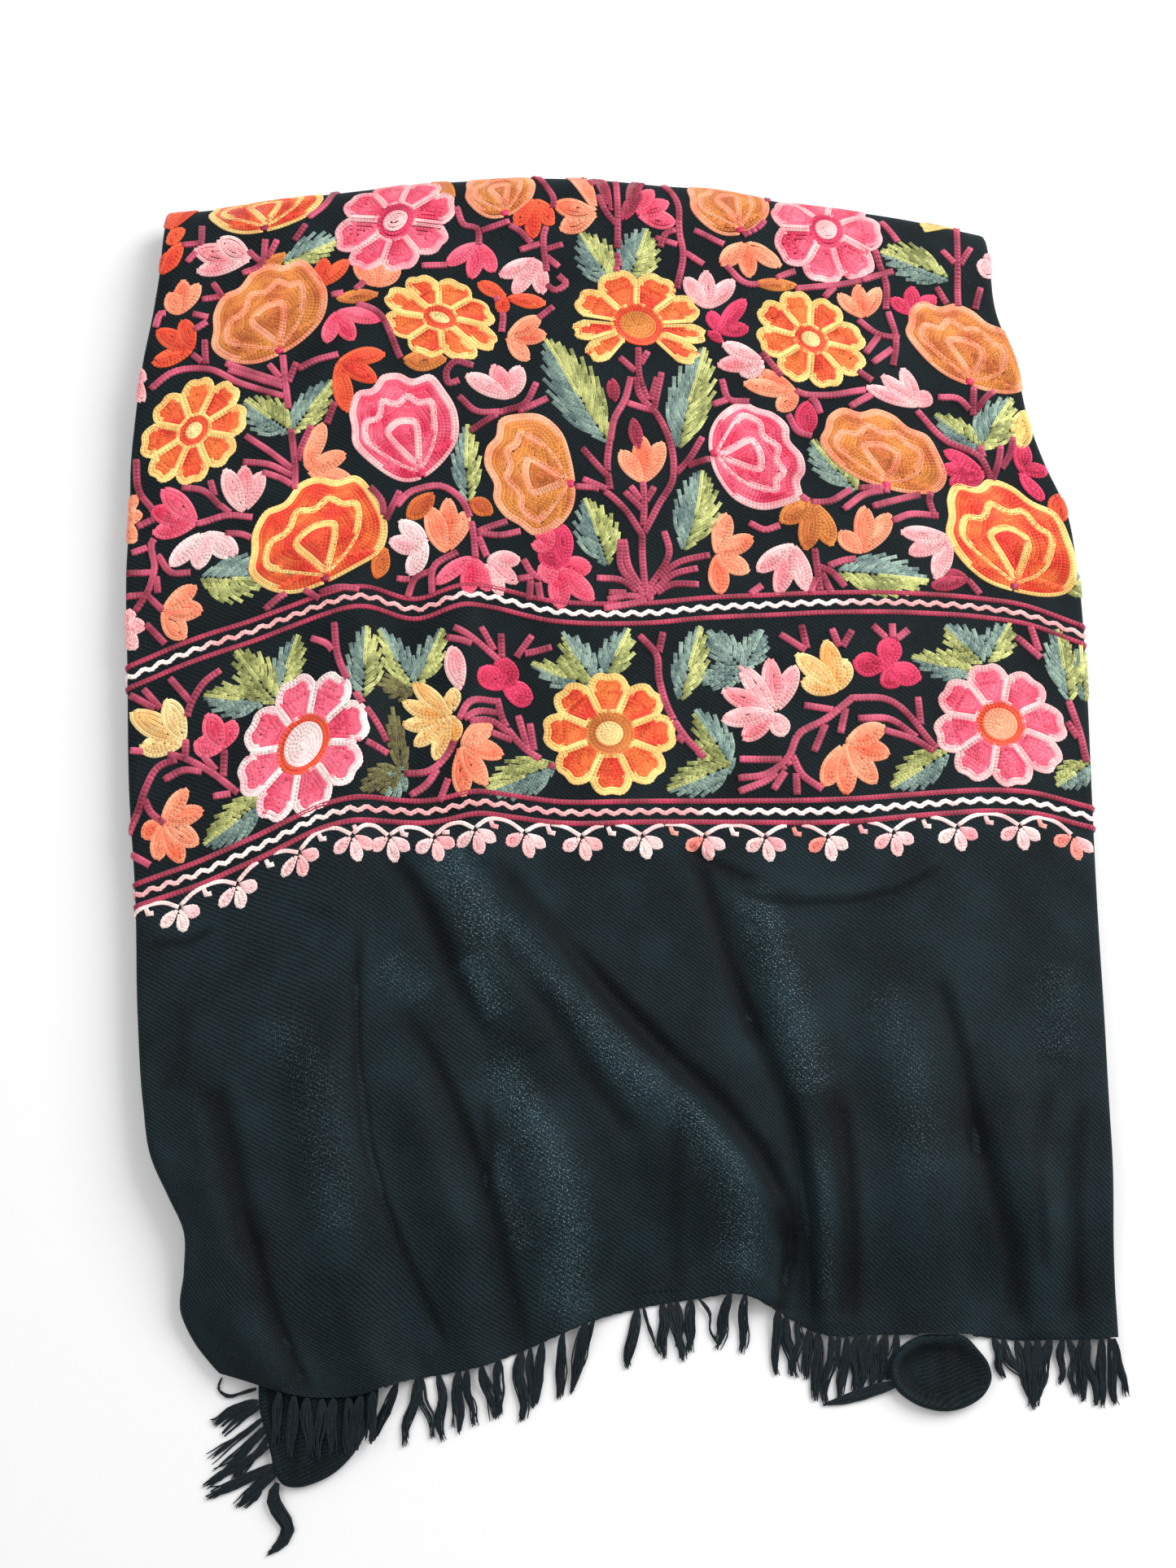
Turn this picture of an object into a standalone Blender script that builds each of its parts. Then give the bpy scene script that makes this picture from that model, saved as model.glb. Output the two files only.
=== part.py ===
"""Embroidered wool shawl, folded and laid flat.

The cloth is cut 1.0 m wide and 2.0 m long. Both sides are turned under to meet
behind the middle, and the long strip is folded in three. The front third shows:
plain cloth from the fringed hem up, then an embroidered border and field that run
over the top fold. The lower thirds lie under it as one soft stack.

Metres, +Z up. +Y runs from the fringed hem to the top fold, +X to the right.
"""

import math

import bmesh
import bpy
import numpy as np
from mathutils import Vector
from mathutils.geometry import delaunay_2d_cdt

# Cloth and folded size
WALL = 0.0015  # thickness of the front cloth with its embroidery
GAP = 0.0003  # clearance between pieces that touch
FLAT_WIDTH = 0.515  # flat cloth from one side fold to the other
TURN_RADIUS = 0.0035  # outer radius of the side folds
FRONT_STACK = 2 * TURN_RADIUS  # front cloth and the side flap under it
LOWER_STACK = 0.010  # the two lower thirds
TOP_LOFT = 0.007  # the stack is this much higher beside the top fold
HEM_SINK = FRONT_STACK - WALL - GAP  # how far the front cloth sinks at its free hem

# Top fold, an ellipse seen from the side
TOP_ROLL = 0.040
LOWER_ROLL = 0.012
UPPER_ARC = 0.044
LOWER_ARC = 0.019

# Flat lengths along the cloth, from the hem
LOWER_BORDER_AT = 0.242
UPPER_BORDER_AT = 0.353
ROLL_START = 0.570
CLOTH_END = ROLL_START + UPPER_ARC + LOWER_ARC

# The part's origin is the middle of its box, so every plan position is moved by this.
ORIGIN_X = 0.0072
ORIGIN_Y = -0.0070

# Where four lines of the flat cloth lie in plan: a row for each station across.
# across 0 is the left side fold and 1 the right one; the rest are y in metres.
LINES = np.array(
    [
        # across, hem, lower border, upper border, top fold
        (0.00, -0.2920, -0.059, 0.058, 0.337),
        (0.06, -0.3010, -0.049, 0.071, 0.340),
        (0.12, -0.3020, -0.036, 0.082, 0.345),
        (0.20, -0.2940, -0.018, 0.097, 0.350),
        (0.25, -0.2910, -0.014, 0.102, 0.353),
        (0.30, -0.2870, -0.016, 0.096, 0.356),
        (0.36, -0.2790, -0.012, 0.103, 0.358),
        (0.45, -0.2650, -0.016, 0.094, 0.360),
        (0.55, -0.2565, -0.016, 0.093, 0.358),
        (0.61, -0.2550, -0.016, 0.096, 0.355),
        (0.64, -0.2620, -0.016, 0.097, 0.354),
        (0.68, -0.2720, -0.016, 0.098, 0.352),
        (0.75, -0.2728, -0.015, 0.099, 0.345),
        (0.85, -0.2735, -0.011, 0.098, 0.338),
        (0.90, -0.2756, -0.010, 0.096, 0.334),
        (0.94, -0.2754, -0.011, 0.093, 0.330),
        (1.00, -0.2748, -0.018, 0.082, 0.323),
    ]
)

# The outline's two sides in plan: x in metres at each y.
SIDES = np.array(
    [
        # y, left, right
        (-0.300, -0.1690, 0.2558),
        (-0.288, -0.1815, 0.2560),
        (-0.276, -0.1915, 0.2560),
        (-0.265, -0.1970, 0.2561),
        (-0.245, -0.1958, 0.2560),
        (-0.225, -0.1966, 0.2559),
        (-0.210, -0.2043, 0.2562),
        (-0.190, -0.2143, 0.2570),
        (-0.165, -0.2196, 0.2574),
        (-0.120, -0.2254, 0.2583),
        (-0.060, -0.2306, 0.2591),
        (0.000, -0.2380, 0.2608),
        (0.060, -0.2428, 0.2626),
        (0.120, -0.2474, 0.2622),
        (0.155, -0.2476, 0.2582),
        (0.180, -0.2485, 0.2485),
        (0.205, -0.2476, 0.2409),
        (0.240, -0.2450, 0.2350),
        (0.270, -0.2410, 0.2262),
        (0.300, -0.2386, 0.2243),
        (0.340, -0.2386, 0.2235),
    ]
)

# Folds of the front cloth. Height is up from the cloth, or down for a trough.
# A fold falls off over one width on its left and another on its right.
FOLDS = [
    # height, left width, right width, plan points from the border down
    (
        0.0065, 0.052, 0.013,
        [(-0.052, -0.048), (0.002, -0.115), (0.060, -0.178), (0.088, -0.215), (0.090, -0.262)],
    ),
    (0.0050, 0.020, 0.026, [(-0.080, -0.040), (-0.052, -0.098), (-0.030, -0.140)]),
    (0.0055, 0.026, 0.036, [(-0.048, -0.150), (-0.026, -0.190), (-0.012, -0.235), (-0.010, -0.280)]),
    (0.0050, 0.022, 0.016, [(-0.094, -0.140), (-0.078, -0.185), (-0.062, -0.235), (-0.052, -0.290)]),
    (0.0060, 0.030, 0.020, [(-0.130, -0.110), (-0.126, -0.170), (-0.114, -0.230), (-0.098, -0.300)]),
    (0.0045, 0.020, 0.026, [(-0.200, -0.185), (-0.192, -0.225), (-0.172, -0.268), (-0.150, -0.300)]),
    (
        0.0055, 0.012, 0.036,
        [(0.072, -0.045), (0.092, -0.105), (0.108, -0.170), (0.116, -0.225), (0.116, -0.272)],
    ),
    (0.0045, 0.030, 0.030, [(0.150, -0.110), (0.160, -0.170), (0.166, -0.230), (0.166, -0.280)]),
    (0.0040, 0.022, 0.018, [(0.206, -0.130), (0.208, -0.180), (0.224, -0.230), (0.222, -0.276)]),
    (0.0020, 0.012, 0.010, [(0.080, -0.050), (0.112, -0.060), (0.150, -0.057), (0.178, -0.043)]),
    (
        0.0040, 0.034, 0.020,
        [(-0.132, 0.150), (-0.126, 0.100), (-0.120, 0.050), (-0.120, -0.010), (-0.134, -0.070)],
    ),
    (
        -0.0022, 0.016, 0.022,
        [(-0.104, 0.160), (-0.098, 0.100), (-0.100, 0.045), (-0.106, -0.012), (-0.104, -0.060)],
    ),
    (0.0035, 0.020, 0.016, [(-0.072, 0.130), (-0.064, 0.060), (-0.058, 0.000), (-0.052, -0.045)]),
    (0.0025, 0.060, 0.050, [(0.160, 0.300), (0.150, 0.180), (0.140, 0.060), (0.130, -0.020)]),
    (0.0020, 0.050, 0.060, [(-0.020, 0.300), (-0.010, 0.180), (0.010, 0.060), (0.020, -0.030)]),
]

# Embroidered flowers that stand proud of the front cloth.
# across is from the left side fold and along from the hem, both on the flat cloth.
FLOWERS = [
    # petals, across, along, half width, half height, turn
    (8, 0.1495, 0.5752, 0.0330, 0.0285, 0.20),
    (8, 0.1755, 0.5191, 0.0345, 0.0265, -0.30),
    (8, 0.0380, 0.4744, 0.0280, 0.0280, 0.00),
    (8, 0.3905, 0.5165, 0.0300, 0.0300, 0.10),
    (8, 0.4140, 0.5835, 0.0315, 0.0250, 0.20),
    (9, 0.2880, 0.5175, 0.0380, 0.0270, 0.35),
    (9, 0.0710, 0.5316, 0.0340, 0.0260, 0.00),
    (9, 0.1560, 0.4541, 0.0290, 0.0310, 0.10),
    (9, 0.2240, 0.4354, 0.0260, 0.0330, -0.20),
    (9, 0.1035, 0.3944, 0.0340, 0.0290, 0.30),
    (9, 0.3480, 0.4365, 0.0250, 0.0320, 0.15),
    (9, 0.4195, 0.4458, 0.0310, 0.0260, -0.10),
    (9, 0.4740, 0.5206, 0.0310, 0.0270, 0.25),
    (9, 0.4720, 0.3975, 0.0320, 0.0350, -0.15),
    (8, 0.0670, 0.5913, 0.0340, 0.0200, 0.00),
    (8, 0.2125, 0.5880, 0.0270, 0.0200, 0.00),
    (8, 0.3435, 0.5944, 0.0340, 0.0200, 0.00),
    (8, 0.4755, 0.5949, 0.0280, 0.0190, 0.00),
    (8, 0.0945, 0.2827, 0.0350, 0.0330, 0.10),
    (8, 0.2595, 0.2832, 0.0360, 0.0340, -0.10),
    (8, 0.4635, 0.2842, 0.0350, 0.0360, 0.20),
]
FLOWER_RELIEF = 0.0012
FLOWER_BEVEL = 0.0016
PETAL_POINTS = 4  # outline points for one petal

# Grid of the front cloth
INNER_STATIONS = 40
TURN_STEPS = 4
PLAIN_ROWS = 17
FIELD_ROWS = 13
ROLL_ROWS = 8

# Lower layers, seen at the sides as two rounded folds
STACK_START = 0.030  # flat length where the lower stack begins
STACK_DROP = 0.0026  # the lower stack stays this far under the lowest trough
STACK_CLEAR = 0.0017  # from the front cloth's back to the stack
STACK_SHOULDER = 0.0062  # inset of the stack's top from the cloth's side
STACK_COLUMNS = 13
STACK_TURNS = (18, 36, 54, 72, 90, 115, 140, 160, 180)  # degrees round the top fold
LAYER_PEEK = 0.0030  # how far the lower folds move in and out along the sides

# Fringe along the hem: locks of two strands on a narrow strip of woven edge
HEM_SPAN = 0.4258  # the hem from side to side
HEM_GAP = 0.0009
STRIP_WIDTH = 0.0022
STRIP_THICK = 0.0012
ROOT_WIDTH = 0.0014
TIP_Z = 0.0006
HEM_FRINGES = [
    # name, across from, across to, lock pitch, first length, last length, first lock's lean
    ("hem_fringe_left", 0.195, 0.592, 0.0078, 0.0280, 0.0285, -0.28),
    ("hem_fringe_middle", 0.622, 0.752, 0.0080, 0.0300, 0.0190, 0.0),
    ("hem_fringe_right", 0.880, 0.992, 0.0084, 0.0275, 0.0285, 0.0),
]
LOCK_SHAPE = [
    # share of length, strand's distance from the lock's middle, half width, half thickness
    (0.10, 0.0013, 0.0008, 0.0006),
    (0.42, 0.0019, 0.0015, 0.0009),
    (0.76, 0.0017, 0.0012, 0.0007),
    (1.00, 0.0010, 0.0003, 0.0003),
]

# Rounded fold of the layer below, out past the left of the hem
LOBE_OUTLINE = [
    # x, y
    (-0.1000, -0.2810),
    (-0.1003, -0.2960),
    (-0.1020, -0.3120),
    (-0.1066, -0.3205),
    (-0.1130, -0.3300),
    (-0.1205, -0.3368),
    (-0.1290, -0.3410),
    (-0.1374, -0.3430),
    (-0.1440, -0.3420),
    (-0.1480, -0.3376),
    (-0.1505, -0.3292),
    (-0.1535, -0.3193),
    (-0.1570, -0.3083),
    (-0.1580, -0.2950),
    (-0.1560, -0.2810),
    (-0.1280, -0.2790),
]
LOBE_PROFILE = [
    # inset, height
    (0.0018, 0.0),
    (0.0003, 0.0009),
    (0.0, 0.0024),
    (0.0008, 0.0042),
    (0.0028, 0.0051),
]
LOBE_CENTRE = (-0.129, -0.308, 0.0051)

# Locks that come out at the left of that fold; each starts on a strip down its side.
CORNER_STRIP_GAP = 0.00045
CORNER_STRIP_ROWS = (13, 12, 11, 10, 9)  # the rows of the fold's outline it runs beside
CORNER_LOCKS = [
    # where on the strip, half width at the belly, plan points of the lock
    (0.07, 0.0010, [(-0.1665, -0.2985), (-0.1730, -0.2975), (-0.1775, -0.3000)]),
    (0.19, 0.0020, [(-0.1660, -0.3055), (-0.1735, -0.3098), (-0.1798, -0.3153)]),
    (0.30, 0.0015, [(-0.1650, -0.3110), (-0.1695, -0.3155), (-0.1730, -0.3205)]),
    (0.42, 0.0020, [(-0.1630, -0.3170), (-0.1705, -0.3225), (-0.1800, -0.3318)]),
    (0.56, 0.0026, [(-0.1610, -0.3240), (-0.1700, -0.3325), (-0.1832, -0.3445)]),
    (0.72, 0.0024, [(-0.1590, -0.3310), (-0.1670, -0.3395), (-0.1785, -0.3490)]),
    (0.86, 0.0022, [(-0.1560, -0.3365), (-0.1610, -0.3440), (-0.1663, -0.3517)]),
    (0.965, 0.0028, [(-0.1515, -0.3425), (-0.1490, -0.3495), (-0.1430, -0.3565)]),
]
LONG_LOCK_END = [(-0.1403, -0.3620), (-0.1450, -0.3690), (-0.1510, -0.3735)]

# Corner of the cloth below, rolled into a small cup at the right of the hem
CUP_OUTLINE = [
    # x, y
    (0.1500, -0.2800),
    (0.1600, -0.2742),
    (0.1715, -0.2735),
    (0.1820, -0.2743),
    (0.1882, -0.2805),
    (0.1925, -0.2865),
    (0.1938, -0.2935),
    (0.1902, -0.3008),
    (0.1833, -0.3058),
    (0.1727, -0.3088),
    (0.1624, -0.3077),
    (0.1548, -0.3045),
    (0.1480, -0.2990),
    (0.1450, -0.2925),
    (0.1458, -0.2855),
]
CUP_PROFILE = [
    # inset, height
    (0.0016, 0.0),
    (0.0003, 0.0011),
    (0.0, 0.0030),
    (0.0005, 0.0049),
    (0.0017, 0.0058),
    (0.0031, 0.0053),
    (0.0046, 0.0034),
]
CUP_CENTRE = (0.170, -0.293, 0.0024)
CUP_LOCK_SIDE = 12  # the outline's side that its lock grows from
CUP_LOCK = [(0.1400, -0.2992), (0.1310, -0.3020), (0.1215, -0.3050), (0.1130, -0.3069)]

# Colours of the black twill with its embroidery, of plain twill and of fringe yarn
FRONT_COLOUR = (0.035, 0.045, 0.055, 1.0)
CLOTH_COLOUR = (0.020, 0.028, 0.036, 1.0)
YARN_COLOUR = (0.018, 0.024, 0.040, 1.0)


def clear_scene():
    for thing in list(bpy.data.objects):
        bpy.data.objects.remove(thing)


def collection_named(name):
    made = bpy.data.collections.new(name)
    bpy.context.scene.collection.children.link(made)
    return made


def material(name, colour, roughness):
    made = bpy.data.materials.new(name)
    made.use_nodes = True
    shader = made.node_tree.nodes["Principled BSDF"]
    shader.inputs["Base Color"].default_value = colour
    shader.inputs["Roughness"].default_value = roughness
    shader.inputs["Metallic"].default_value = 0.0
    return made


def ease(t):
    """0 to 1 with level ends."""
    t = np.clip(t, 0.0, 1.0)
    return t * t * (3.0 - 2.0 * t)


def smooth_curve(knots, values, at):
    """A smooth curve through values, one row for each knot, read at each place."""
    values = np.asarray(values, float)
    if values.ndim == 1:
        values = np.repeat(values[:, None], np.size(at), axis=1)
    slopes = np.gradient(values, knots, axis=0)
    i = np.clip(np.searchsorted(knots, at, side="right") - 1, 0, len(knots) - 2)
    column = np.arange(np.size(at))
    span = knots[i + 1] - knots[i]
    t = np.clip((at - knots[i]) / span, 0.0, 1.0)
    start, end = values[i, column], values[i + 1, column]
    leaving, arriving = slopes[i, column] * span, slopes[i + 1, column] * span
    return (
        start * (2 * t**3 - 3 * t**2 + 1)
        + leaving * (t**3 - 2 * t**2 + t)
        + end * (3 * t**2 - 2 * t**3)
        + arriving * (t**3 - t**2)
    )


def beside_path(x, y, path):
    """Distance to a line of points, which side of it, and how far along it is."""
    nearest = np.full(x.shape, 1e9)
    side = np.zeros(x.shape)
    along = np.zeros(x.shape)
    lengths = [math.dist(a, b) for a, b in zip(path, path[1:])]
    done = 0.0
    for (ax, ay), (bx, by), length in zip(path, path[1:], lengths):
        dx, dy = (bx - ax) / length, (by - ay) / length
        t = np.clip((x - ax) * dx + (y - ay) * dy, 0.0, length)
        away = np.hypot(x - ax - t * dx, y - ay - t * dy)
        closer = away < nearest
        nearest = np.where(closer, away, nearest)
        side = np.where(closer, dx * (y - ay) - dy * (x - ax), side)
        along = np.where(closer, (done + t) / sum(lengths), along)
        done += length
    return nearest, side, along


def fold_height(x, y):
    """What the folds add to the front cloth's height at a plan position."""
    total = np.zeros(x.shape)
    for height, left, right, path in FOLDS:
        away, side, along = beside_path(x, y, path)
        # The paths run down the cloth, so its left is on their right.
        width = np.where(side < 0, left, right)
        fade = ease(along / 0.22) * ease((1.0 - along) / 0.05 + 0.55)
        crest = 0.5 + 0.5 * np.cos(np.pi * np.clip(away / width, 0.0, 1.0))
        total = total + height * crest * fade
    return total


def plan_position(across, along):
    """Plan x and y of a point of the flat cloth, up to where the top fold starts."""
    lines = [smooth_curve(LINES[:, 0], LINES[:, k], across) for k in (1, 2, 3, 4)]
    lines[3] = lines[3] - TOP_ROLL
    knots = np.array([0.0, LOWER_BORDER_AT, UPPER_BORDER_AT, ROLL_START])
    y = smooth_curve(knots, np.stack(lines), along)
    left = smooth_curve(SIDES[:, 0], SIDES[:, 1], y) + TURN_RADIUS
    right = smooth_curve(SIDES[:, 0], SIDES[:, 2], y) - TURN_RADIUS
    return left + across * (right - left), y


def lower_stack(along):
    """Height of the lower layers under the front cloth."""
    rise = LOWER_STACK * ease((along - 0.012) / 0.060)
    return rise + TOP_LOFT * ease((along - 0.400) / (ROLL_START - 0.400))


def plain_height(across, along):
    """Height of the front cloth's face before its folds."""
    from_side = np.minimum(across, 1.0 - across) * FLAT_WIDTH
    free_hem = ease((from_side - 0.004) / 0.022) * (1.0 - ease(along / 0.055))
    free_hem = free_hem * ease((across - 0.17) / 0.06)  # the left corner lies on its lobe
    return lower_stack(along) + FRONT_STACK - HEM_SINK * free_hem


def front_face(across, along):
    """A point on the face of the front cloth, over the top fold as well."""
    flat_along = np.minimum(along, ROLL_START)
    x, y = plan_position(across, flat_along)
    from_side = np.minimum(across, 1.0 - across) * FLAT_WIDTH
    keep = ease(from_side / 0.030) * ease((ROLL_START - along) / 0.060)
    z = plain_height(across, flat_along) + keep * fold_height(x, y)
    z = np.maximum(z, WALL + GAP)
    upper = np.clip((along - ROLL_START) / UPPER_ARC, 0.0, 1.0)
    lower = np.clip((along - ROLL_START - UPPER_ARC) / LOWER_ARC, 0.0, 1.0)
    turn = (upper + lower) * math.pi / 2
    reach = np.where(
        turn <= math.pi / 2,
        TOP_ROLL * np.sin(turn),
        TOP_ROLL + LOWER_ROLL * (np.sin(turn) - 1.0),
    )
    return np.stack([x, y + reach, z * (1.0 + np.cos(turn)) / 2], axis=-1)


def unit(vectors):
    return vectors / np.linalg.norm(vectors, axis=-1, keepdims=True)


def front_point(flat_across, along, depth):
    """A point of the front cloth, depth under its face.

    flat_across is measured on the flat cloth from the left side fold's outermost line.
    A quarter turn either side of that line the cloth bends from its face to its flap.
    """
    quarter = TURN_RADIUS * math.pi / 2
    inner_width = FLAT_WIDTH - 2 * quarter
    across = np.clip((flat_across - quarter) / inner_width, 0.0, 1.0)
    step_across, step_along = 0.004, 0.0008
    centre = front_face(across, along)
    right = front_face(np.minimum(across + step_across, 1.0), along)
    left = front_face(np.maximum(across - step_across, 0.0), along)
    up = front_face(across, along + step_along)
    down = front_face(across, along - step_along)
    rightward = unit(right - left)
    normal = unit(np.cross(rightward, up - down))
    left_bend = np.minimum(flat_across, quarter) / TURN_RADIUS
    right_bend = np.minimum(FLAT_WIDTH - flat_across, quarter) / TURN_RADIUS
    bend = np.minimum(left_bend, right_bend)
    outward = np.where((flat_across < quarter)[..., None], -rightward, rightward)
    radius = np.asarray(TURN_RADIUS - depth)[..., None]
    turned = np.cos(bend)[..., None] * outward + np.sin(bend)[..., None] * normal
    point = centre - TURN_RADIUS * normal + radius * turned
    point[..., 2] = np.maximum(point[..., 2], 0.0)
    return point


def placed(points):
    """Plan positions moved so that the part's origin is the middle of its box."""
    return np.asarray(points) - np.array([ORIGIN_X, ORIGIN_Y, 0.0])


def add_object(name, mesh, collection, finish, smooth=True):
    mesh.update()
    made = bpy.data.objects.new(name, mesh)
    collection.objects.link(made)
    mesh.materials.append(finish)
    if smooth:
        mesh.shade_smooth()
        mesh.set_sharp_from_angle(angle=math.radians(50))
    return made


def across_stations():
    """Flat distances across the cloth: close together round the two side folds."""
    quarter = TURN_RADIUS * math.pi / 2
    turn = np.linspace(-quarter, quarter, TURN_STEPS + 1)
    inner = np.linspace(quarter, FLAT_WIDTH - quarter, INNER_STATIONS)
    return np.concatenate([turn, inner[1:-1], FLAT_WIDTH - turn[::-1]])


def along_stations():
    """Flat distances along the cloth: closest in the folded plain cloth."""
    return np.concatenate(
        [
            np.linspace(0.0, LOWER_BORDER_AT, PLAIN_ROWS)[:-1],
            np.linspace(LOWER_BORDER_AT, ROLL_START, FIELD_ROWS)[:-1],
            np.linspace(ROLL_START, CLOTH_END, ROLL_ROWS),
        ]
    )


def flower_outline(petals, half_width, half_height, turn, shrink):
    """Scalloped outline of one embroidered flower, made smaller all round by a distance."""
    count = petals * PETAL_POINTS
    points = []
    for k in range(count):
        angle = 2 * math.pi * k / count
        scallop = 0.85 + 0.15 * abs(math.sin(petals * angle / 2))
        a = (half_width * scallop - shrink) * math.cos(angle + turn)
        b = (half_height * scallop - shrink) * math.sin(angle + turn)
        points.append((a, b))
    return points


def relief_height(at_across, at_along):
    """Height of a grid point over the cloth, or None where a flower's edge passes too near."""
    for _, flower_across, flower_along, half_width, half_height, _ in FLOWERS:
        a = (at_across - flower_across) / half_width
        b = (at_along - flower_along) / half_height
        away = math.hypot(a, b)
        if away < 0.62:
            return FLOWER_RELIEF
        if away < 1.09:
            return None
    return 0.0


def relief_points(across, along):
    """The grid of the cloth's face, with each flower's foot and edge worked into it."""
    points = []
    grid_index = {}
    for row, at_along in enumerate(along):
        for column, at_across in enumerate(across):
            height = relief_height(at_across, at_along)
            if height is not None:
                grid_index[row, column] = len(points)
                points.append((at_across, at_along, height))
    edges = []
    for petals, at_across, at_along, half_width, half_height, turn in FLOWERS:
        for shrink, height in ((0.0, 0.0), (FLOWER_BEVEL, FLOWER_RELIEF)):
            first = len(points)
            for a, b in flower_outline(petals, half_width, half_height, turn, shrink):
                points.append((at_across + a, at_along + b, height))
            last = len(points) - 1
            edges += [(k, k + 1) for k in range(first, last)] + [(last, first)]
    return points, edges, grid_index


def front_panel(collection, finish):
    """The front cloth: a wall with folds, raised flowers and both sides turned under."""
    across, along = across_stations(), along_stations()
    rows, columns = len(along), len(across)
    points, edges, grid_index = relief_points(across, along)
    flat = [Vector((a, b)) for a, b, _ in points]
    corners, _, faces, sources, *_ = delaunay_2d_cdt(flat, edges, [], 0, 1e-7)
    corner_of = {source: k for k, found in enumerate(sources) for source in found}
    table = np.array([points[found[0]] for found in sources])
    outer = placed(front_point(table[:, 0], table[:, 1], -table[:, 2]))
    grid_across, grid_along = np.meshgrid(across, along)
    depth = np.full(rows * columns, WALL)
    inner = placed(front_point(grid_across.ravel(), grid_along.ravel(), depth))

    bm = bmesh.new()
    face_points = [bm.verts.new(p) for p in outer]
    back_points = [bm.verts.new(p) for p in inner]
    for face in faces:
        bm.faces.new([face_points[k] for k in face])
    for row in range(rows - 1):
        for column in range(columns - 1):
            a = row * columns + column
            bm.faces.new([back_points[k] for k in (a, a + columns, a + columns + 1, a + 1)])
    rim = [(0, c) for c in range(columns)]
    rim += [(r, columns - 1) for r in range(1, rows)]
    rim += [(rows - 1, c) for c in range(columns - 2, -1, -1)]
    rim += [(r, 0) for r in range(rows - 2, 0, -1)]
    for here, after in zip(rim, rim[1:] + rim[:1]):
        back = [back_points[row * columns + column] for row, column in (here, after)]
        face = [face_points[corner_of[grid_index[place]]] for place in (after, here)]
        bm.faces.new(back + face)
    bmesh.ops.triangulate(bm, faces=[f for f in bm.faces if len(f.verts) > 3])
    bmesh.ops.recalc_face_normals(bm, faces=bm.faces)
    mesh = bpy.data.meshes.new("front_panel")
    bm.to_mesh(mesh)
    bm.free()
    return add_object("front_panel", mesh, collection, finish)


def stack_top(along, turn):
    """Points across the top of the lower stack, or round its end under the top fold."""
    shoulder = (STACK_SHOULDER - TURN_RADIUS) / (FLAT_WIDTH - 2 * TURN_RADIUS)
    across = np.linspace(shoulder, 1.0 - shoulder, STACK_COLUMNS)
    x, y = plan_position(across, np.full(STACK_COLUMNS, along))
    shrink = WALL + STACK_CLEAR
    drop = STACK_DROP * ease((0.520 - along) / 0.1) + shrink
    z = np.maximum(plain_height(across, np.full(STACK_COLUMNS, along)) - drop, 0.0006)
    upper, lower = TOP_ROLL - shrink, LOWER_ROLL - shrink
    beyond = upper * math.sin(turn)
    if turn > math.pi / 2:
        beyond = upper + lower * (math.sin(turn) - 1.0)
    middle = (z + shrink) / 2
    z = middle + (middle - shrink) * math.cos(turn)
    return list(zip(x, y + beyond, z))


def stack_side(along, right_side):
    """The two rounded folds up the side of the lower stack, from the floor."""
    wave = math.sin(along * 21.0 + (1.3 if right_side else 0.0))
    other = math.sin(along * 13.0 + (0.4 if right_side else 2.2))
    peek = LAYER_PEEK * (0.4 if right_side else 1.0) * float(ease((0.55 - along) / 0.1))
    upper, lower = 0.0042 - peek * wave, 0.0036 - peek * other
    top = float(lower_stack(np.array(along))) - 0.0007
    profile = [
        # inset, share of the height
        (lower + 0.0018, 0.0),
        (lower, 0.22),
        (max(upper, lower) + 0.0024, 0.50),
        (upper, 0.74),
        (STACK_SHOULDER - 0.0008, 1.0),
    ]
    x, y = plan_position(np.array([1.0 if right_side else 0.0]), np.array([along]))
    toward = -1.0 if right_side else 1.0
    edge = x[0] - toward * TURN_RADIUS
    return [(edge + toward * inset, y[0], share * top) for inset, share in profile]


def folded_layers(collection, finish):
    """The lower thirds and the hidden flaps: one soft stack with a flat underside."""
    body = [place for place in along_stations() if STACK_START <= place <= ROLL_START]
    tops = [stack_top(place, 0.0) for place in body]
    tops += [stack_top(ROLL_START, math.radians(angle)) for angle in STACK_TURNS]
    tops.append([(x, y - STACK_CLEAR, z) for x, y, z in tops[-1]])
    tops.append([(x, y, 0.0) for x, y, _ in tops[-1]])
    tops.insert(0, [(x, y, 0.0) for x, y, _ in tops[0]])
    bm = bmesh.new()
    grid = [[bm.verts.new(p) for p in placed(row)] for row in tops]
    for low, high in zip(grid, grid[1:]):
        for k in range(STACK_COLUMNS - 1):
            bm.faces.new([low[k], low[k + 1], high[k + 1], high[k]])
    feet = []
    for right_side, column in ((False, 0), (True, STACK_COLUMNS - 1)):
        sides = [[bm.verts.new(p) for p in placed(stack_side(place, right_side))] for place in body]
        for row, (low, high) in enumerate(zip(sides, sides[1:])):
            low, high = low + [grid[row + 1][column]], high + [grid[row + 2][column]]
            for k in range(len(low) - 1):
                bm.faces.new([low[k], low[k + 1], high[k + 1], high[k]])
        bm.faces.new(sides[0] + [grid[1][column], grid[0][column]])
        round_end = [row[column] for row in grid[len(body):]]
        bm.faces.new(sides[-1] + round_end)
        feet.append([side[0] for side in sides])
    bm.faces.new(grid[0] + feet[1] + grid[-1][::-1] + feet[0][::-1])
    bmesh.ops.triangulate(bm, faces=bm.faces)
    bmesh.ops.recalc_face_normals(bm, faces=bm.faces)
    mesh = bpy.data.meshes.new("folded_layers")
    bm.to_mesh(mesh)
    bm.free()
    return add_object("folded_layers", mesh, collection, finish)


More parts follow.
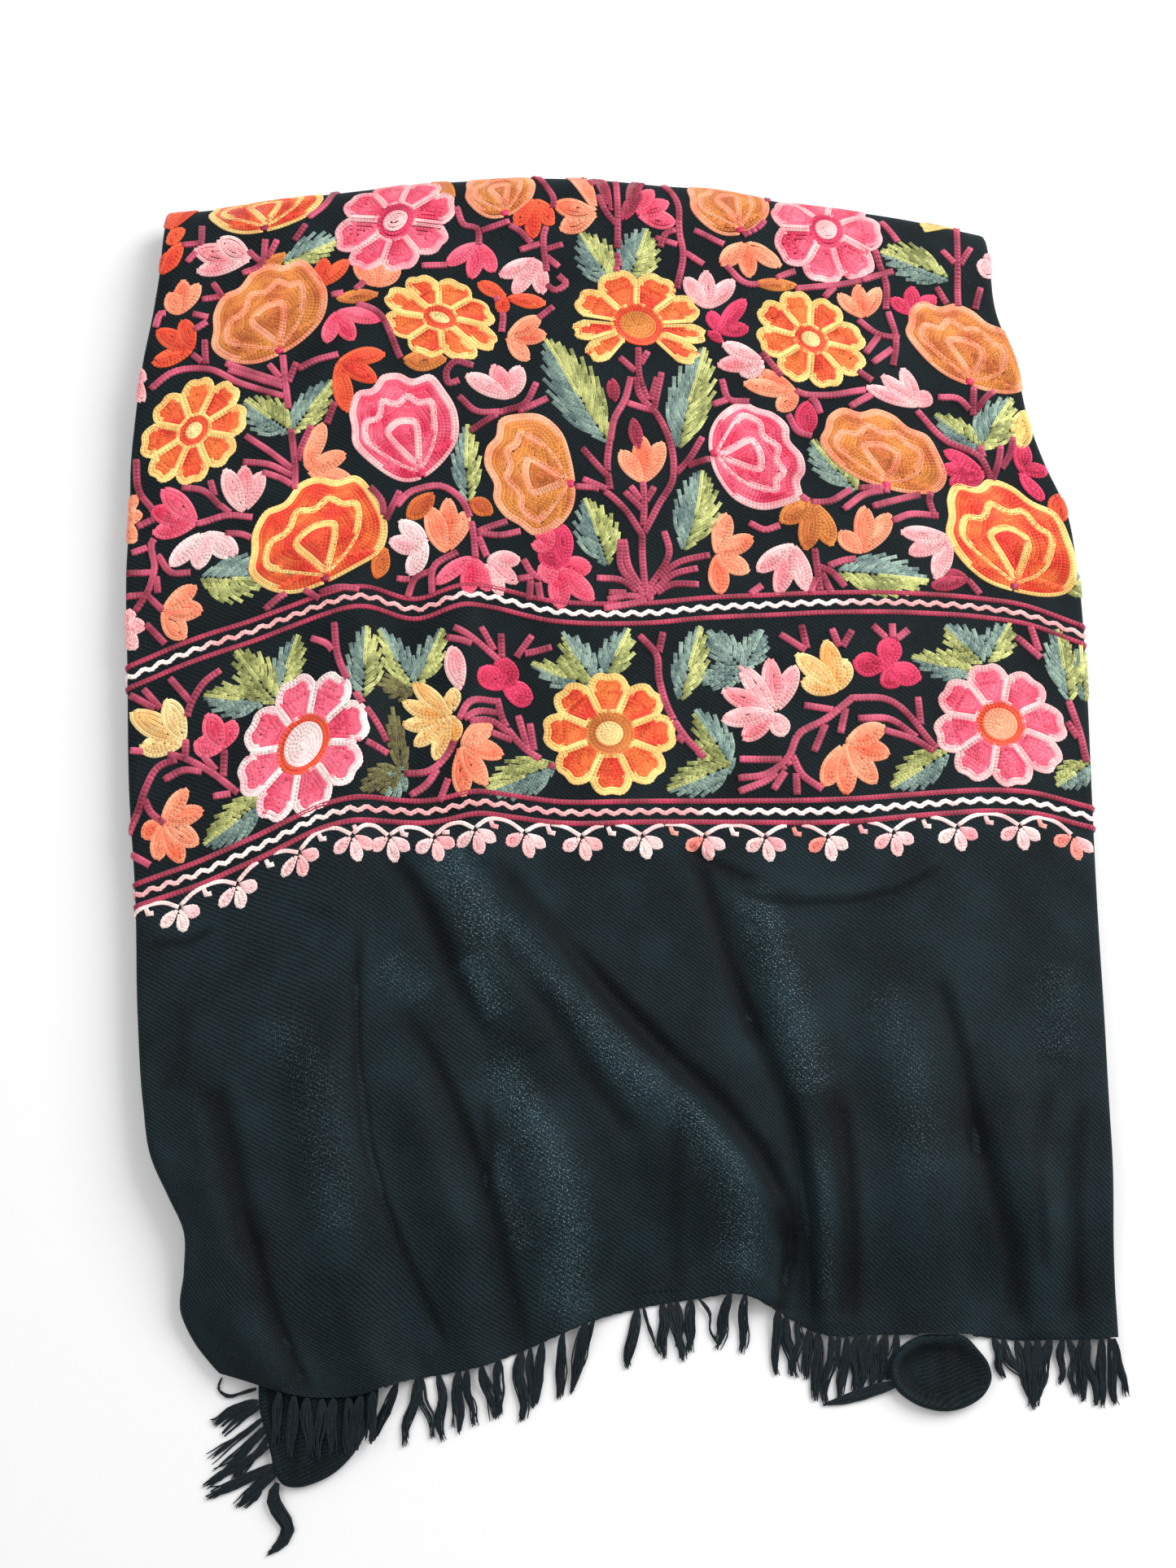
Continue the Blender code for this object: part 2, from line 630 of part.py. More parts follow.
def grow_strand(bm, root, path):
    """A strand from a root face of four points: its left and right below, then right and left.

    Each row of the path is x, y, z, half width and half thickness.
    """
    ring = root
    for k, (x, y, z, wide, thick) in enumerate(path):
        before, after = path[max(k - 1, 0)], path[min(k + 1, len(path) - 1)]
        along_x, along_y = after[0] - before[0], after[1] - before[1]
        length = math.hypot(along_x, along_y)
        right_x, right_y = wide * along_y / length, -wide * along_x / length
        corners = [
            (x - right_x, y - right_y, z - thick),
            (x + right_x, y + right_y, z - thick),
            (x + right_x, y + right_y, z + thick),
            (x - right_x, y - right_y, z + thick),
        ]
        following = [bm.verts.new(p) for p in placed(corners)]
        for a in range(4):
            b = (a + 1) % 4
            bm.faces.new([ring[a], ring[b], following[b], following[a]])
        ring = following
    bm.faces.new(ring)


def fringe(name, stations, strands, collection, finish):
    """Strands whose roots are fused in a strip.

    Each station is the strip's back point, front point and lower height. A strand
    grows from the strip's front, from the segment that starts at its station.
    """
    bm = bmesh.new()
    sections = []
    for back, front, low in stations:
        high = low + STRIP_THICK
        corners = [(*back, low), (*front, low), (*front, high), (*back, high)]
        sections.append([bm.verts.new(p) for p in placed(corners)])
    for k, (here, there) in enumerate(zip(sections, sections[1:])):
        for a, b in ((0, 1), (2, 3), (3, 0)):
            bm.faces.new([here[a], here[b], there[b], there[a]])
        root = [there[1], here[1], here[2], there[2]]
        if k in strands:
            grow_strand(bm, root, strands[k])
        else:
            bm.faces.new(root)
    bm.faces.new(sections[0])
    bm.faces.new(sections[-1])
    bmesh.ops.triangulate(bm, faces=bm.faces)
    bmesh.ops.recalc_face_normals(bm, faces=bm.faces)
    mesh = bpy.data.meshes.new(name)
    bm.to_mesh(mesh)
    bm.free()
    return add_object(name, mesh, collection, finish, smooth=False)


def hem_edge(across):
    """The hem's edge point in plan, the direction out of the cloth there, and its height."""
    places = front_face(np.array([across - 0.004, across, across + 0.004]), np.zeros(3))
    run = places[2][:2] - places[0][:2]
    outward = np.array([run[1], -run[0]]) / np.hypot(*run)
    return places[1][:2], outward, float(places[1][2])


def hem_station(across):
    edge, outward, z = hem_edge(across)
    back = edge + outward * HEM_GAP
    front = edge + outward * (HEM_GAP + STRIP_WIDTH)
    return tuple(back), tuple(front), max(z - WALL / 2 - STRIP_THICK / 2, GAP)


def hem_lock(index, middle, strand_side, length, first_lean):
    """The path of one strand in a lock of the hem fringe."""
    edge, outward, z = hem_edge(middle)
    lean = 0.050 * math.sin(index * 1.27) + 0.04 * math.sin(index * 0.43 + 1.0)
    lean += first_lean * math.exp(-1.6 * index)
    length *= 0.93 + 0.10 * abs(math.sin(index * 2.3))
    way = np.array(
        [
            outward[0] * math.cos(lean) - outward[1] * math.sin(lean),
            outward[0] * math.sin(lean) + outward[1] * math.cos(lean),
        ]
    )
    beside = np.array([-way[1], way[0]])
    start_z = max(z - WALL / 2, GAP + STRIP_THICK / 2)
    path = []
    for share, away, wide, thick in LOCK_SHAPE:
        point = edge + outward * (HEM_GAP + STRIP_WIDTH) + way * length * share
        point = point + beside * strand_side * away
        low = TIP_Z + thick
        height = low + max(start_z - low, 0.0) * (1.0 - float(ease(share / 0.7)))
        path.append((point[0], point[1], height, wide, thick))
    return path


def hem_fringe(name, start, end, pitch, first_length, last_length, first_lean, collection, finish):
    """Locks of two strands side by side, spaced along part of the hem."""
    locks = int((end - start) * HEM_SPAN / pitch)
    stations = [hem_station(start)]
    strands = {}
    for index in range(locks):
        middle = start + (index + 0.5) * (end - start) / locks
        middle += 0.0005 / HEM_SPAN * math.sin(index * 3.1)
        length = first_length + (last_length - first_length) * index / (locks - 1)
        for strand_side in (-1, 1):
            root = middle + strand_side * LOCK_SHAPE[0][1] / HEM_SPAN
            half = ROOT_WIDTH / 2 / HEM_SPAN
            strands[len(stations)] = hem_lock(index, middle, strand_side, length, first_lean)
            stations += [hem_station(root - half), hem_station(root + half)]
    stations.append(hem_station(end))
    return fringe(name, stations, strands, collection, finish)


def along_line(line, share):
    """A point at a share of a line's length, and the line's direction there."""
    lengths = [math.dist(a, b) for a, b in zip(line, line[1:])]
    left = share * sum(lengths)
    for (a, b), length in zip(zip(line, line[1:]), lengths):
        if left <= length:
            break
        left -= length
    run = (np.array(b) - np.array(a)) / length
    return np.array(a) + run * min(left, length), run


def corner_fringe(collection, finish):
    """The locks that come out beside the fold at the lower left, one of them long and kinked."""
    outline = pad_rings(LOBE_OUTLINE, [(-CORNER_STRIP_GAP, 0.0)])[0]
    strip = [outline[row][:2] for row in CORNER_STRIP_ROWS]
    total = sum(math.dist(a, b) for a, b in zip(strip, strip[1:]))
    cuts = [0.0]
    strands = {}
    for place, belly, line in CORNER_LOCKS:
        if place == CORNER_LOCKS[-1][0]:
            line = line + LONG_LOCK_END
        strands[len(cuts)] = []
        for k, (x, y) in enumerate(line):
            share = k / (len(line) - 1)
            wide = belly * (0.7 + 0.3 * min(share / 0.3, 1.0)) * (1.0 - 1.9 * max(share - 0.6, 0.0))
            thick = 0.0010 if k < len(line) - 1 else 0.0004
            strands[len(cuts)].append((x, y, TIP_Z + thick, wide, thick))
        cuts += [place - 0.0011 / total, place + 0.0011 / total]
    cuts.append(1.0)
    stations = []
    for cut in cuts:
        point, run = along_line(strip, cut)
        outward = np.array([run[1], -run[0]])
        stations.append((tuple(point), tuple(point + outward * STRIP_WIDTH), GAP))
    return fringe("corner_fringe", stations, strands, collection, finish)


def pad_rings(outline, profile):
    """Rings up the side of a rounded pad: the outline drawn in, at each height."""
    points = np.array(outline)
    run = np.roll(points, -1, axis=0) - np.roll(points, 1, axis=0)
    inward = np.stack([-run[:, 1], run[:, 0]], axis=1)
    inward /= np.linalg.norm(inward, axis=1)[:, None]
    area = np.sum(points[:, 0] * np.roll(points[:, 1], -1) - points[:, 1] * np.roll(points[:, 0], -1))
    inward *= 1.0 if area > 0 else -1.0
    return [[(*(p + n * inset), height) for p, n in zip(points, inward)] for inset, height in profile]


def pad(name, outline, profile, centre, collection, finish, lock_side=None, lock=()):
    """A rounded fold of cloth seen from above, with a flat underside, and a lock if it has one."""
    bm = bmesh.new()
    rings = pad_rings(outline, profile)
    inner = np.array(rings[-1]) * 0.55 + np.array(centre) * 0.45
    rings.append([tuple(p) for p in inner])
    grid = [[bm.verts.new(p) for p in placed(ring)] for ring in rings]
    for level, (low, high) in enumerate(zip(grid, grid[1:])):
        for k in range(len(low)):
            after = (k + 1) % len(low)
            side = [low[k], low[after], high[after], high[k]]
            if level == 1 and k == lock_side:
                grow_strand(bm, side, lock)
            else:
                bm.faces.new(side)
    top = bm.verts.new(placed([centre])[0])
    for k in range(len(outline)):
        bm.faces.new([grid[-1][k], grid[-1][(k + 1) % len(outline)], top])
    bm.faces.new(grid[0][::-1])
    bmesh.ops.triangulate(bm, faces=bm.faces)
    bmesh.ops.recalc_face_normals(bm, faces=bm.faces)
    mesh = bpy.data.meshes.new(name)
    bm.to_mesh(mesh)
    bm.free()
    return add_object(name, mesh, collection, finish)


def rolled_corner(collection, finish):
    """The small cup at the hem, with one flat lock drawn out to its left."""
    count = len(CUP_LOCK)
    lock = []
    for k, (x, y) in enumerate(CUP_LOCK):
        thick = 0.0011 if k < count - 1 else 0.0005
        lock.append((x, y, TIP_Z + thick, (0.0014, 0.0017, 0.0019, 0.0008)[k], thick))
    return pad("rolled_corner", CUP_OUTLINE, CUP_PROFILE, CUP_CENTRE, collection, finish, CUP_LOCK_SIDE, lock)


def main():
    clear_scene()
    parts = collection_named("Embroidered shawl")
    front_panel(parts, material("Embroidered front cloth", FRONT_COLOUR, 0.7))
    folded_layers(parts, material("Folded layers twill", CLOTH_COLOUR, 0.75))
    lobe_cloth = material("Corner lobe twill", CLOTH_COLOUR, 0.75)
    pad("corner_lobe", LOBE_OUTLINE, LOBE_PROFILE, LOBE_CENTRE, parts, lobe_cloth)
    rolled_corner(parts, material("Rolled corner twill", CLOTH_COLOUR, 0.75))
    for row in HEM_FRINGES:
        hem_fringe(*row, parts, material(row[0] + " yarn", YARN_COLOUR, 0.6))
    corner_fringe(parts, material("corner_fringe yarn", YARN_COLOUR, 0.6))


main()
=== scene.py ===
# %% [markdown]
# # An embroidered wool shawl, folded and laid flat
#
# The real thing is one cloth of black wool twill, 1 m by 2 m, worked in wool chain
# stitch and fringed at both ends. It lies folded in three with both sides turned
# under, and the camera looks down on it, tilted a little. This notebook dresses the
# plain solids of the part: the cloth with its creases, some thirty-five thousand
# chain stitches that follow it, the folded layers below, and the fringe.
#
# Lengths are in metres, or in millimetres where the text says so. +Z is up, and +Y
# runs from the fringed hem to the top fold.

import math

import bmesh
import bpy
import numpy as np
from mathutils import Matrix, Vector


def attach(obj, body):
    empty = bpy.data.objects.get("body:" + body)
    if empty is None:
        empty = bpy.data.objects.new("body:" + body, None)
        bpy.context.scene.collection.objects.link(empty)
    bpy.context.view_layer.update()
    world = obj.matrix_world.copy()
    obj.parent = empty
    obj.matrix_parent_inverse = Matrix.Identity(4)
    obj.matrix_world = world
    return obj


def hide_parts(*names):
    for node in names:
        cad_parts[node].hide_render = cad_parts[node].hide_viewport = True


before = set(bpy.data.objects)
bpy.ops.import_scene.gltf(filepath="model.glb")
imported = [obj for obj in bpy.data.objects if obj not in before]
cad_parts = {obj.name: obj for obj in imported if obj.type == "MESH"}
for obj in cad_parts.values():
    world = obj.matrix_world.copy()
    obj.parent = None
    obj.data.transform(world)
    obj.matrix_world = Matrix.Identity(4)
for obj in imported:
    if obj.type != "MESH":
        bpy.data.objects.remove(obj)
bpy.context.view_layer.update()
print("nodes in the frame:", sorted(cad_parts))

# %% [markdown]
# ## Camera, floor and light
#
# A lens of 43 mm, nearly a metre up and tilted 16 degrees, gives the view of the
# photograph. The floor is plain and pale. A soft light low on the right rakes across
# the folds, so that their left sides fall into shade, and a weaker one on the left
# and a pale sky fill the rest. Dyed yarns are strong colours, so the picture is shown
# as it is, without a film curve that would wash them out.

# %% Place the camera
ORIGIN = np.array([0.0072, -0.007, 0.0])  # the middle of the part's box in the plan below
CAMERA_PLACE = np.array([0.0, -0.2671, 0.9455])
CAMERA_TILT = math.radians(16.0)


def add_object(name, data):
    """A new object in the scene."""
    made = bpy.data.objects.new(name, data)
    bpy.context.scene.collection.objects.link(made)
    return made


def new_mesh(name, points, edges=(), faces=()):
    """A mesh from points, and edges or faces that name them by number."""
    mesh = bpy.data.meshes.new(name)
    mesh.from_pydata([tuple(p) for p in points], edges, [tuple(int(k) for k in f) for f in faces])
    return mesh


camera_data = bpy.data.cameras.new("camera")
camera_data.lens = 42.97
camera_data.sensor_width = 36.0
camera = add_object("camera", camera_data)
camera.location = CAMERA_PLACE - ORIGIN
camera.rotation_euler = (CAMERA_TILT, 0.0, 0.0)
bpy.context.scene.camera = camera
print("camera at", [round(v, 3) for v in camera.location])

# %% Lay the floor and hang the lights
FLOOR_HALF = 4.0
FLOOR_DROP = 0.0004  # the floor lies a hair under the cloth, so that no two faces share a plane
SKY_STRENGTH = 0.53
LIGHTS = [
    # name, place, size, power in watts
    ("key light", (1.25, 0.75, 1.15), 1.3, 34.0),
    ("fill light", (-1.2, 0.6, 1.9), 1.8, 12.0),
]


def node_material(name, colour, roughness):
    """A material with one Principled shader, and that shader."""
    made = bpy.data.materials.new(name)
    made.use_nodes = True
    shader = made.node_tree.nodes["Principled BSDF"]
    shader.inputs["Base Color"].default_value = (*colour, 1.0)
    shader.inputs["Roughness"].default_value = roughness
    return made, shader


def area_light(name, place, size, power):
    """A square soft light that points at the middle of the cloth."""
    data = bpy.data.lights.new(name, "AREA")
    data.size = size
    data.energy = power
    light = add_object(name, data)
    light.location = place
    light.rotation_euler = (-Vector(place)).to_track_quat("-Z", "Y").to_euler()


corners = [(x * FLOOR_HALF, y * FLOOR_HALF, 0.0) for x, y in ((-1, -1), (1, -1), (1, 1), (-1, 1))]
floor = add_object("floor", new_mesh("floor", corners, faces=[(0, 1, 2, 3)]))
floor.location.z = -FLOOR_DROP
floor.data.materials.append(node_material("pale floor", (0.93, 0.93, 0.93), 0.9)[0])

for name, place, size, power in LIGHTS:
    area_light(name, place, size, power)
world = bpy.data.worlds.new("pale sky")
world.use_nodes = True
sky = world.node_tree.nodes["Background"]
sky.inputs["Color"].default_value = (1.0, 1.0, 1.0, 1.0)
sky.inputs["Strength"].default_value = SKY_STRENGTH
bpy.context.scene.world = world
bpy.context.scene.view_settings.view_transform = "Standard"
print("lights:", [name for name, *_ in LIGHTS])

# %% [markdown]
# ## The shape that the cloth lies in
#
# Cloth is measured flat: a place on it is a distance across from the left side fold
# and a distance along from the hem. One function turns such a place into a point in
# space, so the cloth, each stitch and the fringe all agree. Four lines of the cloth
# and the two sides of its outline are tables; smooth curves between them give the
# rest. A simulation could drape it too, but then no fold would be where it should.

# %% Sizes and lines of the folded cloth
WALL = 0.0015  # thickness of the part's cloth
GAP = 0.0003  # air between the cloth and what lies under it
FLAT_WIDTH = 0.515  # of the front cloth, round both its side turns
TURN_RADIUS = 0.0035  # of a side turn
QUARTER_TURN = TURN_RADIUS * math.pi / 2
FRONT_STACK = 2 * TURN_RADIUS  # how far the front face lies above the lower layers
LOWER_STACK = 0.01  # height of the lower layers
TOP_LOFT = 0.007  # what they gain towards the top fold
HEM_SINK = FRONT_STACK - WALL - GAP  # how far the free hem drops
TOP_ROLL = 0.04  # how far the top fold reaches past its start, in its upper half
LOWER_ROLL = 0.012  # and how far it comes back, in its lower half
UPPER_ARC = 0.044  # cloth in the upper half
LOWER_ARC = 0.019  # and in the lower half
LOWER_BORDER_AT = 0.242  # along the cloth, from the hem
UPPER_BORDER_AT = 0.353
ROLL_START = 0.57
CLOTH_END = ROLL_START + UPPER_ARC + LOWER_ARC

LINES = np.array([
    # across, then y of the hem, lower border, upper border and top fold
    (0.0, -0.292, -0.059, 0.058, 0.337),
    (0.06, -0.301, -0.049, 0.071, 0.34),
    (0.12, -0.302, -0.036, 0.082, 0.345),
    (0.2, -0.294, -0.018, 0.097, 0.35),
    (0.25, -0.291, -0.014, 0.102, 0.353),
    (0.3, -0.287, -0.016, 0.096, 0.356),
    (0.36, -0.279, -0.012, 0.103, 0.358),
    (0.45, -0.265, -0.016, 0.094, 0.36),
    (0.55, -0.2565, -0.016, 0.093, 0.358),
    (0.61, -0.255, -0.016, 0.096, 0.355),
    (0.64, -0.262, -0.016, 0.097, 0.354),
    (0.68, -0.272, -0.016, 0.098, 0.352),
    (0.75, -0.2728, -0.015, 0.099, 0.345),
    (0.85, -0.2735, -0.011, 0.098, 0.338),
    (0.9, -0.2756, -0.01, 0.096, 0.334),
    (0.94, -0.2754, -0.011, 0.093, 0.33),
    (1.0, -0.2748, -0.018, 0.082, 0.323),
])

SIDES = np.array([
    # y, left x, right x
    (-0.3, -0.169, 0.2558), (-0.288, -0.1815, 0.256), (-0.276, -0.1915, 0.256), (-0.265, -0.197, 0.2561),
    (-0.245, -0.1958, 0.256), (-0.225, -0.1966, 0.2559), (-0.21, -0.2043, 0.2562),
    (-0.19, -0.2143, 0.257), (-0.165, -0.2196, 0.2574), (-0.12, -0.2254, 0.2583),
    (-0.06, -0.2306, 0.2591), (0.0, -0.238, 0.2608), (0.06, -0.2428, 0.2626), (0.12, -0.2474, 0.2622),
    (0.155, -0.2476, 0.2582), (0.18, -0.2485, 0.2485), (0.205, -0.2476, 0.2409), (0.24, -0.245, 0.235),
    (0.27, -0.241, 0.2262), (0.3, -0.2386, 0.2243), (0.34, -0.2386, 0.2235),
])

# %% Folds, from the broad ones to the fine creases
def in_metres(rows):
    """A table of folds with its lengths turned from millimetres to metres."""
    return [
        (height / 1000, *tone, left / 1000, right / 1000, [(x / 1000, y / 1000) for x, y in path])
        for height, *tone, left, right, path in rows
    ]


FOLDS = in_metres([
    # height, left width, right width, plan points from the border down, all in millimetres
    (6.5, 52, 13, [(-52, -48), (2, -115), (60, -178), (88, -215), (90, -262)]),
    (5, 20, 26, [(-80, -40), (-52, -98), (-30, -140)]),
    (5.5, 26, 36, [(-48, -150), (-26, -190), (-12, -235), (-10, -280)]),
    (5, 22, 16, [(-94, -140), (-78, -185), (-62, -235), (-52, -290)]),
    (6, 30, 20, [(-130, -110), (-126, -170), (-114, -230), (-98, -300)]),
    (4.5, 20, 26, [(-200, -185), (-192, -225), (-172, -268), (-150, -300)]),
    (5.5, 12, 36, [(72, -45), (92, -105), (108, -170), (116, -225), (116, -272)]),
    (4.5, 30, 30, [(150, -110), (160, -170), (166, -230), (166, -280)]),
    (4, 22, 18, [(206, -130), (208, -180), (224, -230), (222, -276)]),
    (2, 12, 10, [(80, -50), (112, -60), (150, -57), (178, -43)]),
    (4, 34, 20, [(-132, 150), (-126, 100), (-120, 50), (-120, -10), (-134, -70)]),
    (-2.2, 16, 22, [(-104, 160), (-98, 100), (-100, 45), (-106, -12), (-104, -60)]),
    (3.5, 20, 16, [(-72, 130), (-64, 60), (-58, 0), (-52, -45)]),
    (2.5, 60, 50, [(160, 300), (150, 180), (140, 60), (130, -20)]),
    (2, 50, 60, [(-20, 300), (-10, 180), (10, 60), (20, -30)]),
])

CREASES = in_metres([
    # height, how much painted shade (or painted highlight, below 0), left width, right width, plan points
    (-1, 0.75, 6.5, 6, [(-49, -37), (-34, -59), (-9, -88), (15, -115), (39, -140)]),
    (-3, 0.9, 15, 8, [(-13, -84), (15, -115), (39, -140), (63, -162), (83, -187), (95, -213),
        (99, -232)]),
    (-2, 0.95, 4.5, 4, [(98, -220), (99, -234), (96, -247), (94, -263)]),
    (-2, 0.75, 6, 7, [(48, -33), (57, -48), (65, -76), (73, -105), (84, -134)]),
    (-1.8, 0.6, 6, 5.5, [(69, -84), (77, -113), (88, -141), (97, -162), (102, -181), (105, -201),
        (107, -228), (107, -266)]),
    (-2.2, 0.95, 8, 7, [(119, -152), (123, -172), (125, -193), (126, -216), (127, -243), (126, -268)]),
    (-2, 0.6, 6, 6, [(174, -97), (180, -121), (185, -141), (188, -166), (190, -189)]),
    (-2.6, 0.75, 7, 9, [(187, -162), (192, -185), (199, -213), (206, -236), (207, -268)]),
    (-1, 0.4, 4, 4, [(230, -150), (222, -173), (218, -197), (219, -220), (220, -243)]),
    (-1.5, 0.6, 6, 6, [(246, -158), (238, -185), (236, -213), (237, -236), (236, -266)]),
    (-2.6, 0.8, 9, 6, [(-105, -33), (-88, -55), (-77, -76), (-67, -101), (-53, -127)]),
    (-2.2, 0.65, 9, 9, [(-57, -65), (-38, -92), (-21, -115), (-8, -138), (7, -160), (21, -179)]),
    (-2, 0.7, 6, 6, [(-98, -111), (-82, -134), (-70, -156), (-61, -177), (-53, -197), (-44, -228),
        (-36, -259), (-32, -281)]),
    (-1.6, 0.75, 4.5, 2.5, [(-114, -67), (-116, -101), (-114, -141), (-108, -181), (-100, -209),
        (-87, -239), (-70, -275)]),
    (-3.2, 0.95, 14, 12, [(-187, -152), (-178, -181), (-171, -209), (-161, -236)]),
    (-1.8, 0.75, 6, 4, [(-170, -213), (-159, -239), (-150, -266), (-140, -288), (-133, -300)]),
    (-1.2, 0.9, 2.4, 2.4, [(74, -55), (86, -61), (102, -64), (131, -63), (156, -58), (179, -46)]),
    (-1.6, 0.85, 4, 4, [(48, -32), (61, -42), (83, -52)]),
    (-0.9, 0.75, 3, 3, [(-222, -85), (-202, -84), (-190, -77)]),
    (-0.8, 0.55, 3.5, 3.5, [(-51, -162), (-48, -189), (-51, -209)]),
    (-1, 0.4, 6, 6, [(44, -172), (41, -205), (42, -243), (43, -264)]),
    (-0.8, 0.4, 9, 9, [(-202, -113), (-205, -158)]),
    (1.2, -0.85, 8, 9, [(-73, -33), (-62, -59), (-49, -84)]),
    (1, -0.8, 8, 8, [(-64, -92), (-48, -124)]),
    (1.8, -0.75, 11, 13, [(-50, -138), (-29, -172), (-14, -201), (-9, -228), (-11, -266)]),
    (1.8, -0.75, 9, 10, [(-55, -63), (-30, -99), (-1, -126), (16, -146), (34, -164)]),
    (1.6, -0.65, 9, 9, [(40, -154), (57, -179), (70, -201), (76, -220), (73, -247)]),
    (1.6, -0.75, 8, 11, [(82, -52), (91, -84), (99, -113), (106, -141), (110, -162)]),
    (0.8, -0.45, 6, 7, [(-49, -181), (-40, -213), (-32, -236)]),
    (0.8, -0.35, 14, 14, [(-160, -117), (-134, -154), (-128, -193), (-119, -228)]),
    (0.8, -0.35, 14, 14, [(-104, -92), (-83, -113)]),
    (1, -0.3, 16, 18, [(146, -101), (160, -150), (162, -201)]),
    (0.8, -0.35, 10, 12, [(237, -92), (232, -141)]),
    (0.8, -0.3, 10, 10, [(114, -181), (115, -220), (115, -259)]),
])
print(len(FOLDS), "folds and", len(CREASES), "finer creases")

# %% Turn a place on the flat cloth into a point in space
def ease(t):
    """0 to 1 with level ends."""
    t = np.clip(t, 0.0, 1.0)
    return t * t * (3.0 - 2.0 * t)


def smooth_curve(knots, values, at):
    """A smooth curve through values, one row for each knot, read at each place."""
    values = np.asarray(values, float)
    if values.ndim == 1:
        values = np.repeat(values[:, None], np.size(at), axis=1)
    slopes = np.gradient(values, knots, axis=0)
    i = np.clip(np.searchsorted(knots, at, side="right") - 1, 0, len(knots) - 2)
    column = np.arange(np.size(at))
    span = knots[i + 1] - knots[i]
    t = np.clip((at - knots[i]) / span, 0.0, 1.0)
    start, end = values[i, column], values[i + 1, column]
    leaving, arriving = slopes[i, column] * span, slopes[i + 1, column] * span
    return (
        start * (2 * t**3 - 3 * t**2 + 1)
        + leaving * (t**3 - 2 * t**2 + t)
        + end * (3 * t**2 - 2 * t**3)
        + arriving * (t**3 - t**2)
    )


def beside_path(x, y, path):
    """Distance to a line of points, which side of it, and how far along it is."""
    nearest = np.full(x.shape, 1e9)
    side = np.zeros(x.shape)
    along = np.zeros(x.shape)
    lengths = [math.dist(a, b) for a, b in zip(path, path[1:])]
    done = 0.0
    for (ax, ay), (bx, by), length in zip(path, path[1:], lengths):
        dx, dy = (bx - ax) / length, (by - ay) / length
        t = np.clip((x - ax) * dx + (y - ay) * dy, 0.0, length)
        away = np.hypot(x - ax - t * dx, y - ay - t * dy)
        closer = away < nearest
        nearest = np.where(closer, away, nearest)
        side = np.where(closer, dx * (y - ay) - dy * (x - ax), side)
        along = np.where(closer, (done + t) / sum(lengths), along)
        done += length
    return nearest, side, along


def felt(x, y, path, left, right):
    """Which points feel a fold, how far off they lie for its width, and how far along."""
    xs, ys = zip(*path)
    reach = max(left, right)
    near = (x > min(xs) - reach) & (x < max(xs) + reach) & (y > min(ys) - reach) & (y < max(ys) + reach)
    away, side, along = beside_path(x[near], y[near], path)
    return near, away / np.where(side < 0, left, right), along


def fold_height(x, y, folds):
    """What the folds add to the cloth's height at a plan position."""
    total = np.zeros(x.shape)
    for height, *tone, left, right, path in folds:
        near, off, along = felt(x, y, path, left, right)
        fade = ease(along / 0.22) * ease((1.0 - along) / 0.05 + 0.55)
        total[near] += height * (0.5 + 0.5 * np.cos(np.pi * np.clip(off, 0.0, 1.0))) * fade
    return total


def painted_crease_shading(x, y):
    """Painted shade in the furrows of the creases, and painted light on their ridges."""
    total = np.zeros(x.shape)
    for _, tone, left, right, path in CREASES:
        spread = 1.5 if tone > 0 else 2.4
        left, right = (min(w * spread, spread * 0.0075) for w in (left, right))
        near, off, along = felt(x, y, path, left, right)
        fade = ease(along / 0.15 + 0.1) * ease((1.0 - along) / 0.1 + 0.3)
        total[near] += tone * (1.0 - ease(off)) * fade
    return np.clip(total * 1.4, -1.0, 1.0)


def ripple(x, y):
    """Slow unevenness of cloth that has been folded by hand."""
    broad = np.sin(x * 95 + y * 31) + np.sin(y * 83 - x * 47 + 1.7)
    return 0.00022 * (broad + np.sin(x * 173 + y * 121 + 0.6) * 0.5)


def plan_position(across, along):
    """Plan x and y of a point of the flat cloth, up to where the top fold starts."""
    lines = [smooth_curve(LINES[:, 0], LINES[:, k], across) for k in (1, 2, 3, 4)]
    lines[3] = lines[3] - TOP_ROLL
    knots = np.array([0.0, LOWER_BORDER_AT, UPPER_BORDER_AT, ROLL_START])
    y = smooth_curve(knots, np.stack(lines), along)
    left = smooth_curve(SIDES[:, 0], SIDES[:, 1], y) + TURN_RADIUS
    right = smooth_curve(SIDES[:, 0], SIDES[:, 2], y) - TURN_RADIUS
    return left + across * (right - left), y


def lower_stack(along):
    """Height of the lower layers under the front cloth."""
    rise = LOWER_STACK * ease((along - 0.012) / 0.06)
    return rise + TOP_LOFT * ease((along - 0.4) / (ROLL_START - 0.4))


def plain_height(across, along):
    """Height of the front cloth's face before its folds."""
    from_side = np.minimum(across, 1.0 - across) * FLAT_WIDTH
    free_hem = ease((from_side - 0.004) / 0.022) * (1.0 - ease(along / 0.055))
    free_hem = free_hem * ease((across - 0.17) / 0.06)
    return lower_stack(along) + FRONT_STACK - HEM_SINK * free_hem


